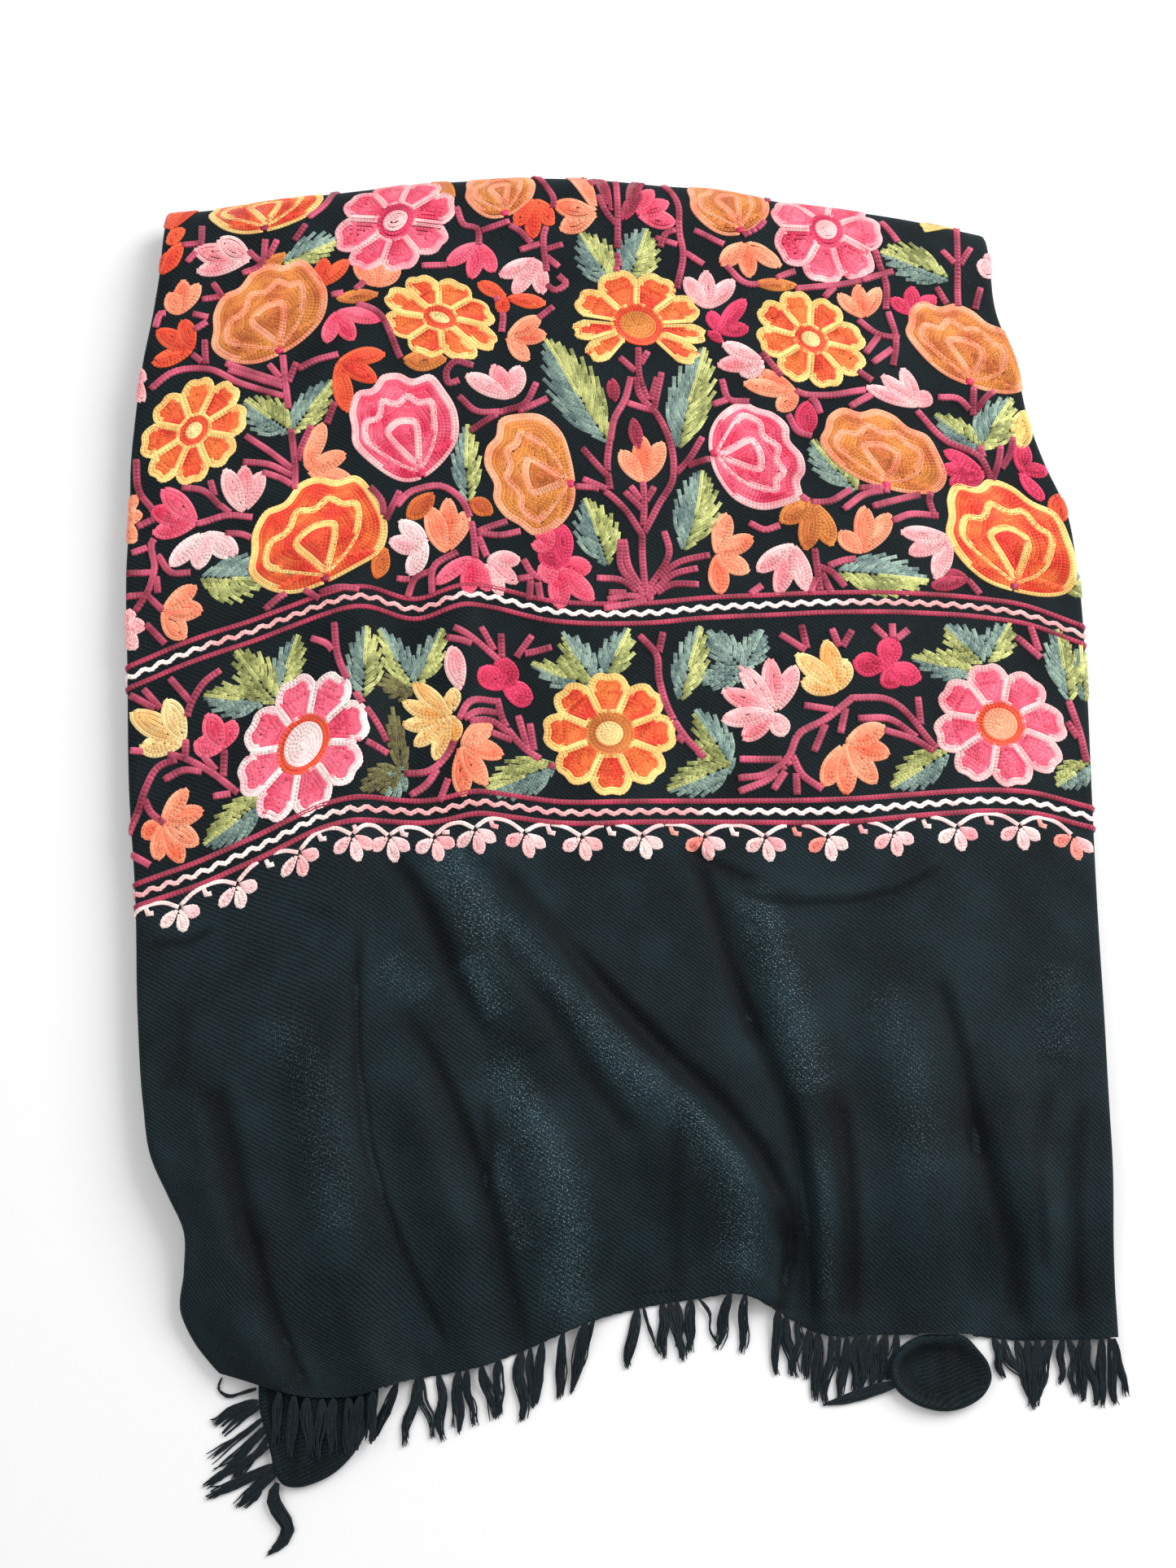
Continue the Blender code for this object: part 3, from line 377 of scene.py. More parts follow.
def front_face(across, along):
    """A point on the face of the front cloth, over the top fold as well."""
    flat_along = np.minimum(along, ROLL_START)
    x, y = plan_position(across, flat_along)
    from_side = np.minimum(across, 1.0 - across) * FLAT_WIDTH
    keep = ease(from_side / 0.03) * ease((ROLL_START - along) / 0.06)
    fine = ease(from_side / 0.018) * ease(along / 0.02 + 0.2)
    fine = fine * ease((ROLL_START + 0.01 - along) / 0.03)
    z = plain_height(across, flat_along) + keep * fold_height(x, y, FOLDS)
    z = z + fine * (fold_height(x, y, CREASES) + ripple(x, y))
    z = np.maximum(z, WALL + GAP)
    upper = np.clip((along - ROLL_START) / UPPER_ARC, 0.0, 1.0)
    lower = np.clip((along - ROLL_START - UPPER_ARC) / LOWER_ARC, 0.0, 1.0)
    turn = (upper + lower) * math.pi / 2
    reach = np.where(
        turn <= math.pi / 2,
        TOP_ROLL * np.sin(turn),
        TOP_ROLL + LOWER_ROLL * (np.sin(turn) - 1.0),
    )
    return np.stack([x, y + reach, z * (1.0 + np.cos(turn)) / 2], axis=-1)


def unit(vectors):
    """Vectors of the same directions, one long."""
    return vectors / np.linalg.norm(vectors, axis=-1, keepdims=True)


def front_frames(flat_across, along):
    """Centre of the side turn under each point, its way across, and its way out."""
    across = np.clip((flat_across - QUARTER_TURN) / (FLAT_WIDTH - 2 * QUARTER_TURN), 0.0, 1.0)
    step_across, step_along = 0.004, 0.0008
    centre = front_face(across, along)
    right = front_face(np.minimum(across + step_across, 1.0), along)
    left = front_face(np.maximum(across - step_across, 0.0), along)
    up = front_face(across, along + step_along)
    down = front_face(across, along - step_along)
    rightward = unit(right - left)
    normal = unit(np.cross(rightward, up - down))
    left_bend = np.minimum(flat_across, QUARTER_TURN) / TURN_RADIUS
    right_bend = np.minimum(FLAT_WIDTH - flat_across, QUARTER_TURN) / TURN_RADIUS
    bend = np.minimum(left_bend, right_bend)[..., None]
    outward = np.where((flat_across < QUARTER_TURN)[..., None], -rightward, rightward)
    return centre - TURN_RADIUS * normal, np.cos(bend) * outward + np.sin(bend) * normal


def front_point(flat_across, along, depth):
    """A point of the front cloth, depth under its face. Above the face, depth is negative."""
    hub, turned = front_frames(flat_across, along)
    point = hub + np.asarray(TURN_RADIUS - depth)[..., None] * turned
    point[..., 2] = np.maximum(point[..., 2], 0.0)
    return point - ORIGIN


middle = front_point(np.array([0.25]), np.array([0.3]), np.zeros(1))[0]
print("middle of the cloth at", np.round(middle, 4))

# %% [markdown]
# ## Black wool twill
#
# The ground is a nearly black wool with a blue cast. Its twill shows as fine slanted
# lines. The lines follow the threads, so they are drawn on the cloth's own flat
# coordinates, kept as a UV map in metres. A wave texture bends the light and darkens
# the grooves between the lines, fine noise makes the dusty grain, and sheen makes the
# soft bloom where the cloth turns away. An attribute of each piece paints shade into
# the creases and light onto their ridges, and bright specks are painted there as glints.

# %% Nodes that the materials and trees share
def set_sockets(tree, node, sockets):
    """Gives a node's sockets their values. A value that is another node's output is linked."""
    for name, value in sockets.items():
        if isinstance(value, bpy.types.NodeSocket):
            tree.links.new(value, node.inputs[name])
        else:
            node.inputs[name].default_value = value


def new_node(tree, kind, output, sockets=(), **settings):
    """Adds a node with its sockets' values and its settings, and gives back one output of it."""
    node = tree.nodes.new(kind)
    for name, value in settings.items():
        setattr(node, name, value)
    set_sockets(tree, node, dict(sockets))
    return node.outputs[output]


def noise(tree, at, scale, detail=2.0, roughness=0.5):
    """A fine or coarse unevenness."""
    sockets = {"Vector": at, "Scale": scale, "Detail": detail, "Roughness": roughness}
    return new_node(tree, "ShaderNodeTexNoise", "Fac", sockets)


def attribute(tree, name, output="Fac"):
    """What the points of a mesh carry under a name."""
    return new_node(tree, "ShaderNodeAttribute", output, attribute_name=name, attribute_type="GEOMETRY")


def times_plus(tree, value, share, base):
    """A value times a share, plus a base."""
    sockets = {0: value, 1: share, 2: base}
    return new_node(tree, "ShaderNodeMath", "Value", sockets, operation="MULTIPLY_ADD")


def scaled(tree, colour, share):
    """A colour made darker or brighter."""
    return new_node(tree, "ShaderNodeVectorMath", "Vector", {0: colour, "Scale": share}, operation="SCALE")


def new_range(tree, value, low, high, new_low=0.0, new_high=1.0):
    """A value moved from one range to another."""
    sockets = {"Value": value, "From Min": low, "From Max": high, "To Min": new_low, "To Max": new_high}
    return new_node(tree, "ShaderNodeMapRange", "Result", sockets)


def bump(tree, height, strength, distance):
    """The way the surface faces, with a height that bends the light."""
    sockets = {"Height": height, "Strength": strength, "Distance": distance}
    return new_node(tree, "ShaderNodeBump", "Normal", sockets)


def ramp(tree, share, *stops):
    """A ramp between two colours, each with its place."""
    node = tree.nodes.new("ShaderNodeValToRGB")
    for point, (place, colour) in zip(node.color_ramp.elements, stops):
        point.position = place
        point.color = (*colour, 1.0)
    tree.links.new(share, node.inputs["Fac"])
    return node.outputs["Color"]


# %% Mix the cloth's material
CLOTH_DARK = (0.002, 0.0054, 0.0072)
CLOTH_LIGHT = (0.014, 0.033, 0.0415)
# the colour of the glints painted on the ridges
CLOTH_PAINTED_GLINT = (0.34, 0.52, 0.58)
TWILL_PITCH = 0.0018
TWILL_SLANT = math.radians(37)
WAVE_SCALE = 0.314  # scale of a wave texture whose bands are one unit apart


def twill_material(name):
    """Cloth with slanted twill lines, a speckled nap and a bluish sheen, with light, shade and glints
    painted in from the piece's attribute.
    """
    made, shader = node_material(name, CLOTH_DARK, 0.72)
    tree = made.node_tree
    flat = new_node(tree, "ShaderNodeUVMap", "UV", uv_map="flat cloth")
    slanted = {"Vector": flat, "Rotation": (0.0, 0.0, TWILL_SLANT)}
    wave = {
        "Vector": new_node(tree, "ShaderNodeMapping", "Vector", slanted),
        "Scale": WAVE_SCALE / TWILL_PITCH,
        "Distortion": 1.4,
        "Detail": 1.0,
        "Detail Scale": 2.0,
    }
    lines = new_node(tree, "ShaderNodeTexWave", "Fac", wave, wave_type="BANDS", bands_direction="Y")
    relief = times_plus(tree, lines, 0.31, noise(tree, flat, 1500.0, 3.0, 0.7))
    worn = times_plus(tree, noise(tree, flat, 26.0, 4.0), 0.75, relief)
    shades = ramp(tree, new_range(tree, worn, 0.66, 1.42), (0.3, CLOTH_DARK), (0.78, CLOTH_LIGHT))
    # painted light and shade: the piece's attribute darkens the creases and brightens their ridges
    painted_light_and_shade = attribute(tree, "painted_light_and_shade")
    painted_shading = scaled(tree, shades, new_range(tree, painted_light_and_shade, -1.0, 1.0, 1.25, 0.2))
    # painted glints: bright specks, let in most on the ridges
    painted_glint_specks = ramp(tree, noise(tree, flat, 1300.0, 1.0), (0.61, (0.0, 0.0, 0.0)), (0.72, (1.0, 1.0, 1.0)))
    painted_glint_amount = new_range(tree, painted_light_and_shade, -1.0, 0.0, 0.6, 0.04)
    painted_glints = {
        "Factor": new_node(tree, "ShaderNodeMath", "Value", {0: painted_glint_specks, 1: painted_glint_amount}, operation="MULTIPLY"),
        "A": painted_shading,
        "B": (*CLOTH_PAINTED_GLINT, 1.0),
    }
    finish = {
        "Base Color": new_node(tree, "ShaderNodeMix", "Result", painted_glints, data_type="RGBA"),
        "Normal": bump(tree, relief, 0.5, 0.0004),
        "Sheen Weight": 0.1,
        "Sheen Roughness": 0.35,
        "Sheen Tint": (0.3, 0.6, 0.72, 1.0),
        "Specular IOR Level": 0.16,
    }
    set_sockets(tree, shader, finish)
    return made


black_twill = twill_material("black wool twill")
print("twill lines", TWILL_PITCH * 1000, "mm apart")

# %% [markdown]
# ## The front cloth
#
# This is the third of the shawl that shows, with both its sides turned under and its
# far end rolled over the top. It is a fine grid of flat places, mapped to space twice,
# for its face and its back, and closed along its edges, so that it is a real cloth
# with a thickness. A grid follows the cloth's own threads, which a remeshed surface
# would lose, and the threads are what the twill lines are drawn along.

# %% Weave a shell from a grid
CLOTH_THICKNESS = 0.0011
BACK_STEP = 3  # the back has every third point of the face
FACE_COLUMNS = 235  # this and the next are one more than a multiple of that step
FACE_ROWS = 262
TURN_COLUMNS = 7
ROLL_ROWS = 27
SHARP_ANGLE = math.radians(75)


def add_piece(name, points, faces, finish):
    """A smooth piece from points and faces."""
    mesh = new_mesh(name, points, faces=faces)
    mesh.materials.append(finish)
    mesh.shade_smooth()
    mesh.set_sharp_from_angle(angle=SHARP_ANGLE)
    return add_object(name, mesh)


def set_attribute(mesh, name, kind, values):
    """Keeps a number, a vector or a colour for each point of a mesh."""
    layer = mesh.attributes.new(name, kind, "POINT")
    field = {"FLOAT": "value", "FLOAT_VECTOR": "vector", "FLOAT_COLOR": "color"}[kind]
    layer.data.foreach_set(field, np.asarray(values, np.float32).ravel())


def set_flat_map(piece, flat):
    """Keeps each point's place on the flat cloth as the piece's UV map, in metres."""
    layer = piece.data.uv_layers.new(name="flat cloth")
    corner_points = np.empty(len(piece.data.loops), np.int32)
    piece.data.loops.foreach_get("vertex_index", corner_points)
    layer.data.foreach_set("uv", np.asarray(flat, np.float32)[corner_points].ravel())


def grid_faces(rows, columns, start=0, flipped=False):
    """The squares of a grid of points, by the numbers of their corners."""
    corner = start + (np.arange(rows - 1)[:, None] * columns + np.arange(columns - 1)).ravel()
    faces = np.stack([corner, corner + 1, corner + columns + 1, corner + columns], axis=1)
    return faces[:, ::-1] if flipped else faces


def rim_of(rows, columns):
    """Indices round the edge of a grid, in order."""
    low = list(range(columns))
    right = [r * columns + columns - 1 for r in range(1, rows)]
    high = [(rows - 1) * columns + c for c in range(columns - 2, -1, -1)]
    left = [r * columns for r in range(rows - 2, 0, -1)]
    return np.array(low + right + high + left)


def cloth_shell(name, face, back, flat, rows, columns, finish):
    """A closed cloth from two grids of points: a fine one for its face, a coarse one for its back."""
    size = rows * columns
    kept = np.arange(size).reshape(rows, columns)[::BACK_STEP, ::BACK_STEP]
    fine_rim, rim = rim_of(rows, columns), rim_of(*kept.shape)
    faces = grid_faces(rows, columns).tolist() + grid_faces(*kept.shape, size, True).tolist()
    for k in range(len(rim)):
        along_face = [fine_rim[(k * BACK_STEP + j) % len(fine_rim)] for j in range(BACK_STEP + 1)]
        faces.append([rim[k] + size, rim[(k + 1) % len(rim)] + size, *along_face[::-1]])
    kept = kept.ravel()
    piece = add_piece(name, np.concatenate([face, back[kept]]), faces, finish)
    set_flat_map(piece, np.concatenate([flat, flat[kept]]))
    return piece


def set_painted_light_and_shade(piece, tones):
    """Keeps the painted light and shade at each point, and none for the points of the back."""
    rest = np.zeros(len(piece.data.vertices) - len(tones))
    set_attribute(piece.data, "painted_light_and_shade", "FLOAT", np.concatenate([tones, rest]))


turn_across = np.linspace(-QUARTER_TURN, QUARTER_TURN, TURN_COLUMNS)
inner_across = np.linspace(QUARTER_TURN, FLAT_WIDTH - QUARTER_TURN, FACE_COLUMNS)
across_grid = np.concatenate([turn_across, inner_across[1:-1], FLAT_WIDTH - turn_across[::-1]])
flat_part = np.linspace(0.0, ROLL_START, FACE_ROWS)
rolled_part = np.linspace(ROLL_START, CLOTH_END, ROLL_ROWS + 1)
along_grid = np.concatenate([flat_part, rolled_part[1:]])
rows, columns = len(along_grid), len(across_grid)
flat_across, flat_along = (g.ravel() for g in np.meshgrid(across_grid, along_grid))
face_points = front_point(flat_across, flat_along, np.zeros(rows * columns))
back_points = front_point(flat_across, flat_along, np.full(rows * columns, CLOTH_THICKNESS))
flat_map = np.stack([flat_across, flat_along], axis=1)
front_cloth = cloth_shell("front_cloth", face_points, back_points, flat_map, rows, columns, black_twill)
print("front cloth:", rows, "by", columns, "grid points")

# %% Paint shade into the furrows, under the stitches and over the corner, and light onto the ridges
stored = np.empty(len(front_cloth.data.vertices) * 3)
front_cloth.data.vertices.foreach_get("co", stored)
plan = stored.reshape(-1, 3)[: rows * columns] + ORIGIN
# painted shade under the embroidery, and where the front cloth's hem lies over the corner
painted_shade_under_stitches = 0.55 * ease((flat_along - LOWER_BORDER_AT + 0.012) / 0.01)
painted_shade_over_corner = 0.3 * (1.0 - ease(flat_along / 0.016)) * ease((0.09 - flat_across) / 0.015)
painted_shade = np.maximum(painted_shade_under_stitches, painted_shade_over_corner)
# painted shade in the creases and painted light on their ridges
painted_crease_tones = painted_crease_shading(plan[:, 0], plan[:, 1])
painted_tones = np.where(painted_shade > 0.01, np.maximum(painted_crease_tones, painted_shade), painted_crease_tones)
set_painted_light_and_shade(front_cloth, painted_tones)
print("nap from", round(float(painted_tones.min()), 2), "to", round(float(painted_tones.max()), 2))

# %% [markdown]
# ## One chain stitch
#
# Hooked chain stitch is a row of loops, each coming out of the one before. From above
# a loop is a pointed drop: two plump legs of yarn with a groove between them. This
# one has only sixteen faces, because it is repeated some thirty-five thousand times.
# Its points carry how high they lie, so that shade can be painted into the grooves,
# darker than the crests.

# %% Shape one stitch, for a row whose pitch and width are one
STITCH_SECTIONS = [
    # place along, half width, height of the legs, height of the groove
    (-0.78, 0.42, 0.88, 0.6),
    (0.66, 0.5, 1.0, 0.68),
]
LEG_PLACE = 0.62  # where the legs stand, as a share of the half width
# how bright the feet are painted, between the fully shaded groove at 0 and the bright legs at 1
FOOT_PAINTED_SHADING = 0.25  # how bright the feet are, between the groove at 0 and the legs at 1


def recalculate(mesh, cut=False):
    """Turns every face of a closed mesh to point out, and cuts it in triangles if asked."""
    bm = bmesh.new()
    bm.from_mesh(mesh)
    if cut:
        bmesh.ops.triangulate(bm, faces=bm.faces)
    bmesh.ops.recalc_face_normals(bm, faces=bm.faces)
    bm.to_mesh(mesh)
    bm.free()


def stitch_mesh():
    """Two five-sided sections, joined and closed."""
    points, painted_shading_levels = [], []
    for x, half, high, groove in STITCH_SECTIONS:
        leg = half * LEG_PLACE
        points += [(x, half, 0.0), (x, leg, high), (x, 0.0, groove), (x, -leg, high), (x, -half, 0.0)]
        painted_shading_levels += [FOOT_PAINTED_SHADING, 1.0, 0.0, 1.0, FOOT_PAINTED_SHADING]
    faces = [(j, j + 1, j + 6, j + 5) for j in range(4)]
    faces += [(4, 0, 5, 9), (4, 3, 2, 1, 0), (5, 6, 7, 8, 9)]
    mesh = new_mesh("one stitch", points, faces=faces)
    recalculate(mesh, cut=True)
    mesh.shade_smooth()
    for face in mesh.polygons:
        face.use_smooth = abs(face.normal.x) < 0.8  # the two ends stay flat, so a row reads as one cord
    # each point's painted shade: darkest in the groove, brightest on the legs
    set_attribute(mesh, "painted_groove_shading", "FLOAT", painted_shading_levels)
    return mesh


one_stitch = bpy.data.objects.new("one stitch", stitch_mesh())
print("one stitch has", len(one_stitch.data.polygons), "triangles")

# %% [markdown]
# ## Dyed yarn
#
# The yarns change tone along their length, from pale to deep, and look silky. Each
# stitch brings its own colour as an attribute. The material paints shade into the
# grooves and breaks the colour up with a fine grain, like the fibres of the yarn.

# %% Mix the yarn's material
def yarn_material(name):
    """Yarn in the colour that each stitch brings, with shade painted into its grooves."""
    made, shader = node_material(name, (0.8, 0.2, 0.2), 0.5)
    tree = made.node_tree
    fibre = noise(tree, new_node(tree, "ShaderNodeTexCoord", "Object"), 900.0)
    # painted shade, darker in the grooves and at the feet of each stitch
    painted_groove_shade = times_plus(tree, attribute(tree, "painted_groove_shading"), 0.32, 0.74)
    finish = {
        "Base Color": scaled(tree, attribute(tree, "tint", "Color"), times_plus(tree, fibre, 0.3, painted_groove_shade)),
        "Normal": bump(tree, fibre, 0.35, 0.0003),
        "Sheen Weight": 0.25,
        "Sheen Roughness": 0.4,
        "Specular IOR Level": 0.45,
    }
    set_sockets(tree, shader, finish)
    return made


yarn = yarn_material("dyed wool yarn")
print("yarn material:", len(yarn.node_tree.nodes), "nodes")

# %% [markdown]
# ## A tree that sews
#
# Rows of stitches are first planned as points, each with a turn, a size and a colour.
# Geometry Nodes then put a copy of the stitch on every point. This way the plan stays
# small and easy to change, and the same tree sews every flower, leaf and line.

# %% Build the sewing tree
def new_tree(name, **inputs):
    """A Geometry Nodes tree that takes a plan and the named inputs, and what they bring in."""
    tree = bpy.data.node_groups.new(name, "GeometryNodeTree")
    for label, kind in {"Geometry": "Geometry", **inputs}.items():
        tree.interface.new_socket(label, in_out="INPUT", socket_type="NodeSocket" + kind)
    tree.interface.new_socket("Geometry", in_out="OUTPUT", socket_type="NodeSocketGeometry")
    return tree, tree.nodes.new("NodeGroupInput").outputs


def close_tree(tree, geometry, finish):
    """Makes copies real, gives them their material and brings them out of the tree."""
    real = new_node(tree, "GeometryNodeRealizeInstances", "Geometry", {"Geometry": geometry})
    sockets = {"Geometry": real, "Material": finish}
    dressed = new_node(tree, "GeometryNodeSetMaterial", "Geometry", sockets)
    tree.links.new(dressed, tree.nodes.new("NodeGroupOutput").inputs["Geometry"])
    return tree


def planned(tree, name, kind):
    """What the points of a plan carry under a name."""
    return new_node(tree, "GeometryNodeInputNamedAttribute", "Attribute", {"Name": name}, data_type=kind)


def sewing_tree(finish):
    """A tree that puts a stitch on every point of a plan."""
    tree, given = new_tree("sew stitches", Stitch="Object", Height="Float")
    rise = new_node(tree, "ShaderNodeCombineXYZ", "Vector", {"X": 1.0, "Y": 1.0, "Z": given["Height"]})
    sizes = {0: planned(tree, "size", "FLOAT_VECTOR"), 1: rise}
    turn = {0: planned(tree, "turn", "FLOAT_VECTOR")}
    sockets = {
        "Points": given["Geometry"],
        "Instance": new_node(tree, "GeometryNodeObjectInfo", "Geometry", {"Object": given["Stitch"]}),
        "Rotation": new_node(tree, "FunctionNodeEulerToRotation", 0, turn),
        "Scale": new_node(tree, "ShaderNodeVectorMath", "Vector", sizes, operation="MULTIPLY"),
    }
    return close_tree(tree, new_node(tree, "GeometryNodeInstanceOnPoints", "Instances", sockets), finish)


def grown(name, plan, tree, **inputs):
    """The plain mesh that a tree makes from a plan."""
    holder = add_object(name + " plan", plan)
    modifier = holder.modifiers.new("tree", "NODES")
    modifier.node_group = tree
    for item in tree.interface.items_tree:
        if item.name in inputs:
            modifier[item.identifier] = inputs[item.name]
    graph = bpy.context.evaluated_depsgraph_get()
    made = bpy.data.meshes.new_from_object(holder.evaluated_get(graph), depsgraph=graph)
    bpy.data.objects.remove(holder)
    made.name = name
    return add_object(name, made)


sewing = sewing_tree(yarn)
print("sewing tree:", len(sewing.nodes), "nodes")

# %% [markdown]
# ## Planning rows
#
# A row is a line on the flat cloth, in millimetres, with a tone for each yarn: pale
# or deep. It is cut into equal stitches. Before a stitch is kept, the plan looks for
# one already there, so a stem that passes under a flower stops at its edge, as it
# does in real work, and crowded rows at a petal's tip thin out by themselves.

# %% Dye the yarns
YARNS = {
    # name: pale tone, deep tone (sRGB, 0 to 255)
    "blush": ((253, 203, 201), (244, 129, 139)),
    "pale": ((254, 226, 222), (246, 176, 182)),
    "pink edge": ((252, 199, 197), (245, 121, 141)),
    "white edge": ((253, 231, 225), (250, 177, 191)),
    "coral": ((250, 168, 152), (236, 104, 96)),
    "rose": ((250, 109, 135), (216, 31, 77)),
    "magenta": ((234, 57, 105), (182, 7, 59)),
    "salmon": ((254, 173, 133), (244, 107, 71)),
    "salmon edge": ((252, 182, 140), (238, 124, 86)),
    "flame": ((244, 97, 49), (214, 37, 17)),
    "ember": ((248, 123, 51), (220, 51, 21)),
    "amber edge": ((254, 222, 138), (248, 182, 98)),
    "straw": ((253, 223, 155), (240, 161, 75)),
    "cream": ((250, 227, 165), (238, 187, 111)),
    "gold": ((222, 138, 58), (186, 88, 32)),
    "rust": ((222, 119, 39), (180, 65, 15)),
    "wine": ((186, 45, 81), (112, 1, 33)),
    "stem": ((206, 82, 112), (126, 18, 48)),
    "slate": ((152, 176, 160), (82, 106, 104)),
    "olive": ((206, 208, 128), (116, 122, 62)),
    "dark olive": ((124, 117, 65), (76, 69, 39)),
    "white": ((252, 231, 225), (240, 177, 177)),
    "line pink": ((254, 238, 232), (240, 166, 166)),
}


def linear(colour):
    """sRGB from 0 to 255 as the linear light that a shader works in."""
    c = np.asarray(colour, float) / 255.0
    return np.where(c <= 0.04045, c / 12.92, ((c + 0.055) / 1.055) ** 2.4)


DYES = {name: np.array([linear(pale), linear(deep)]) for name, (pale, deep) in YARNS.items()}
print(len(DYES), "yarns")

# %% Plan rows of stitches
STITCH_PITCH = 2.0  # millimetres from stitch to stitch
ROW_WIDTH = 1.95  # millimetres from row to row
STITCH_HEIGHT = 0.8
PLUMP = 1.36  # a stitch is wider than its row is pitched, so neighbours press together
REACH = 1.12  # and longer than its step, so that it closes over the next one
CROWDED = 1.15  # a new stitch nearer than this to another row's is left out
BIN = 2  # millimetres across a bin in which stitches are looked up
CELL = 0.5  # millimetres across a cell of the map of covered ground
MAP_MARGIN = 10  # millimetres that the map reaches past the cloth
EDGE_MARGIN = 0.9  # single stitches stay this far inside an outline
SHORTEST = 1.2  # a shorter line gets no stitch
SEWN_BEYOND = 4.0  # rows run on this far round the sides
UNSEWN_END = 12.0  # the last stretch of the front cloth, under the top fold, has none
FLAT_MM, END_MM = FLAT_WIDTH * 1000, CLOTH_END * 1000

taken = {}  # bin: the stitches in it, each with its row
covered = np.zeros((1100, 1340), bool)  # cells that stitches hide
sewn = {}  # piece: a list of place, direction, length, width and colour


def cover(a, b, da, db, length, width):
    """Marks the ground under one stitch."""
    reach = np.arange(-2.5, 2.6, CELL)
    u, v = (g.ravel() for g in np.meshgrid(reach, reach))
    size = math.hypot(da, db)
    along, beside = (u * da + v * db) / size, (v * da - u * db) / size
    under = (np.abs(along) < length * 0.66) & (np.abs(beside) < width * 0.6)
    columns = ((a + MAP_MARGIN + u[under]) / CELL).astype(int)
    covered[columns, ((b + MAP_MARGIN + v[under]) / CELL).astype(int)] = True


def is_hidden(a, b):
    """Whether a stitch already covers this place."""
    return covered[int((a + MAP_MARGIN) / CELL), int((b + MAP_MARGIN) / CELL)]


def is_crowded(a, b, own):
    """Whether another row already has a stitch near this place."""
    ca, cb = int(a // BIN), int(b // BIN)
    bins = [(i, j) for i in (ca - 1, ca, ca + 1) for j in (cb - 1, cb, cb + 1)]
    near = (stitch for key in bins for stitch in taken.get(key, ()))
    return any(row != own and math.hypot(x - a, y - b) < CROWDED for x, y, row in near)


def tone_patches(a, b):
    """Slow changes of tone over the cloth, where one dyed yarn gave way to the next."""
    return 0.5 + 0.28 * np.sin(a * 0.23 + b * 0.11) + 0.22 * np.sin(b * 0.31 - a * 0.17 + 2.0)


row_count = 0
chance = np.random.default_rng(5)


def distances(points):
    """How far along a line each of its points lies."""
    return np.concatenate([[0.0], np.cumsum(np.hypot(*(points[1:] - points[:-1]).T))])


def sew(piece, line, dye, tone=0.5, width=ROW_WIDTH, closed=False, free=False, spread=0.35):
    """Cuts a line into stitches. Tone 0 is pale and 1 is deep, or one value for each point."""
    global row_count
    row_count += 1
    line = np.asarray(line, float)
    if closed:
        line = np.concatenate([line, line[:1]])
    steps = np.hypot(*(line[1:] - line[:-1]).T)
    total = steps.sum()
    if total < SHORTEST:
        return
    count = max(int(round(total / min(STITCH_PITCH, width))), 1)
    at = (np.arange(count) + 0.5) * total / count
    reached = distances(line)
    places = [np.minimum(at + 0.6, total), at, np.maximum(at - 0.6, 0.0)]
    (ahead_a, a, behind_a), (ahead_b, b, behind_b) = (
        [np.interp(place, reached, line[:, k]) for place in places] for k in (0, 1)
    )
    da, db = ahead_a - behind_a, ahead_b - behind_b
    tones = np.interp(at, reached, np.resize(tone, len(line)))
    tones = tones + spread * (tone_patches(a, b) - 0.5) * 2 + chance.normal(0.0, 0.06, count)
    tones = np.clip(tones, 0.0, 1.0)[:, None]
    pale, deep = DYES[dye]
    colours = (pale * (1 - tones) + deep * tones) * (1.0 + chance.normal(0.0, 0.05, (count, 1)))
    plan = sewn.setdefault(piece, [])
    for k in range(count):
        if not (-SEWN_BEYOND < a[k] < FLAT_MM + SEWN_BEYOND and b[k] < END_MM - UNSEWN_END):
            continue
        if not free and (is_hidden(a[k], b[k]) or is_crowded(a[k], b[k], row_count)):
            continue
        taken.setdefault((int(a[k] // BIN), int(b[k] // BIN)), []).append((a[k], b[k], row_count))
        plan.append((a[k], b[k], da[k], db[k], total / count, width, *colours[k]))
        cover(a[k], b[k], da[k], db[k], total / count, width)


# %% [markdown]
# ## Filling a shape
#
# A sewer fills a petal by following its outline inwards, row inside row, and closes
# what is left with single stitches. That one rule fills every petal, leaf and rose
# here, so a shape needs no more than its outline.

# %% Rows inside an outline
def resampled(line, pitch=0.7):
    """A closed line as evenly spaced points."""
    line = np.asarray(line, float)
    line = np.concatenate([line, line[:1]])
    reached = distances(line)
    at = np.linspace(0.0, reached[-1], max(int(reached[-1] / pitch), 8) + 1)[:-1]
    return np.stack([np.interp(at, reached, line[:, k]) for k in (0, 1)], axis=1)


def inward_of(line, step, nudge=0.0):
    """The way into a closed line at each point, from the points some steps before and after it."""
    run = np.roll(line, -step, axis=0) - np.roll(line, step, axis=0)
    area = np.sum(line[:, 0] * np.roll(line[:, 1], -1) - line[:, 1] * np.roll(line[:, 0], -1))
    return unit(np.stack([-run[:, 1], run[:, 0]], axis=1) + nudge) * (1.0 if area > 0 else -1.0)


def away_from(line, spots):
    """How far each spot lies from the nearest point of a line."""
    return np.hypot(*(spots[:, None] - line[None]).transpose(2, 0, 1)).min(axis=1)


def rows_inside(outline, step=ROW_WIDTH):
    """The outline drawn again and again, each time one row further in."""
    line = resampled(outline)
    inward = inward_of(line, 2, 1e-9)
    found, depth = [], step * 0.5
    while True:
        moved = line + inward * depth
        kept = moved[away_from(line, moved) > depth - 0.2]
        if len(kept) < 4:
            return found
        found.append(kept)
        depth += step


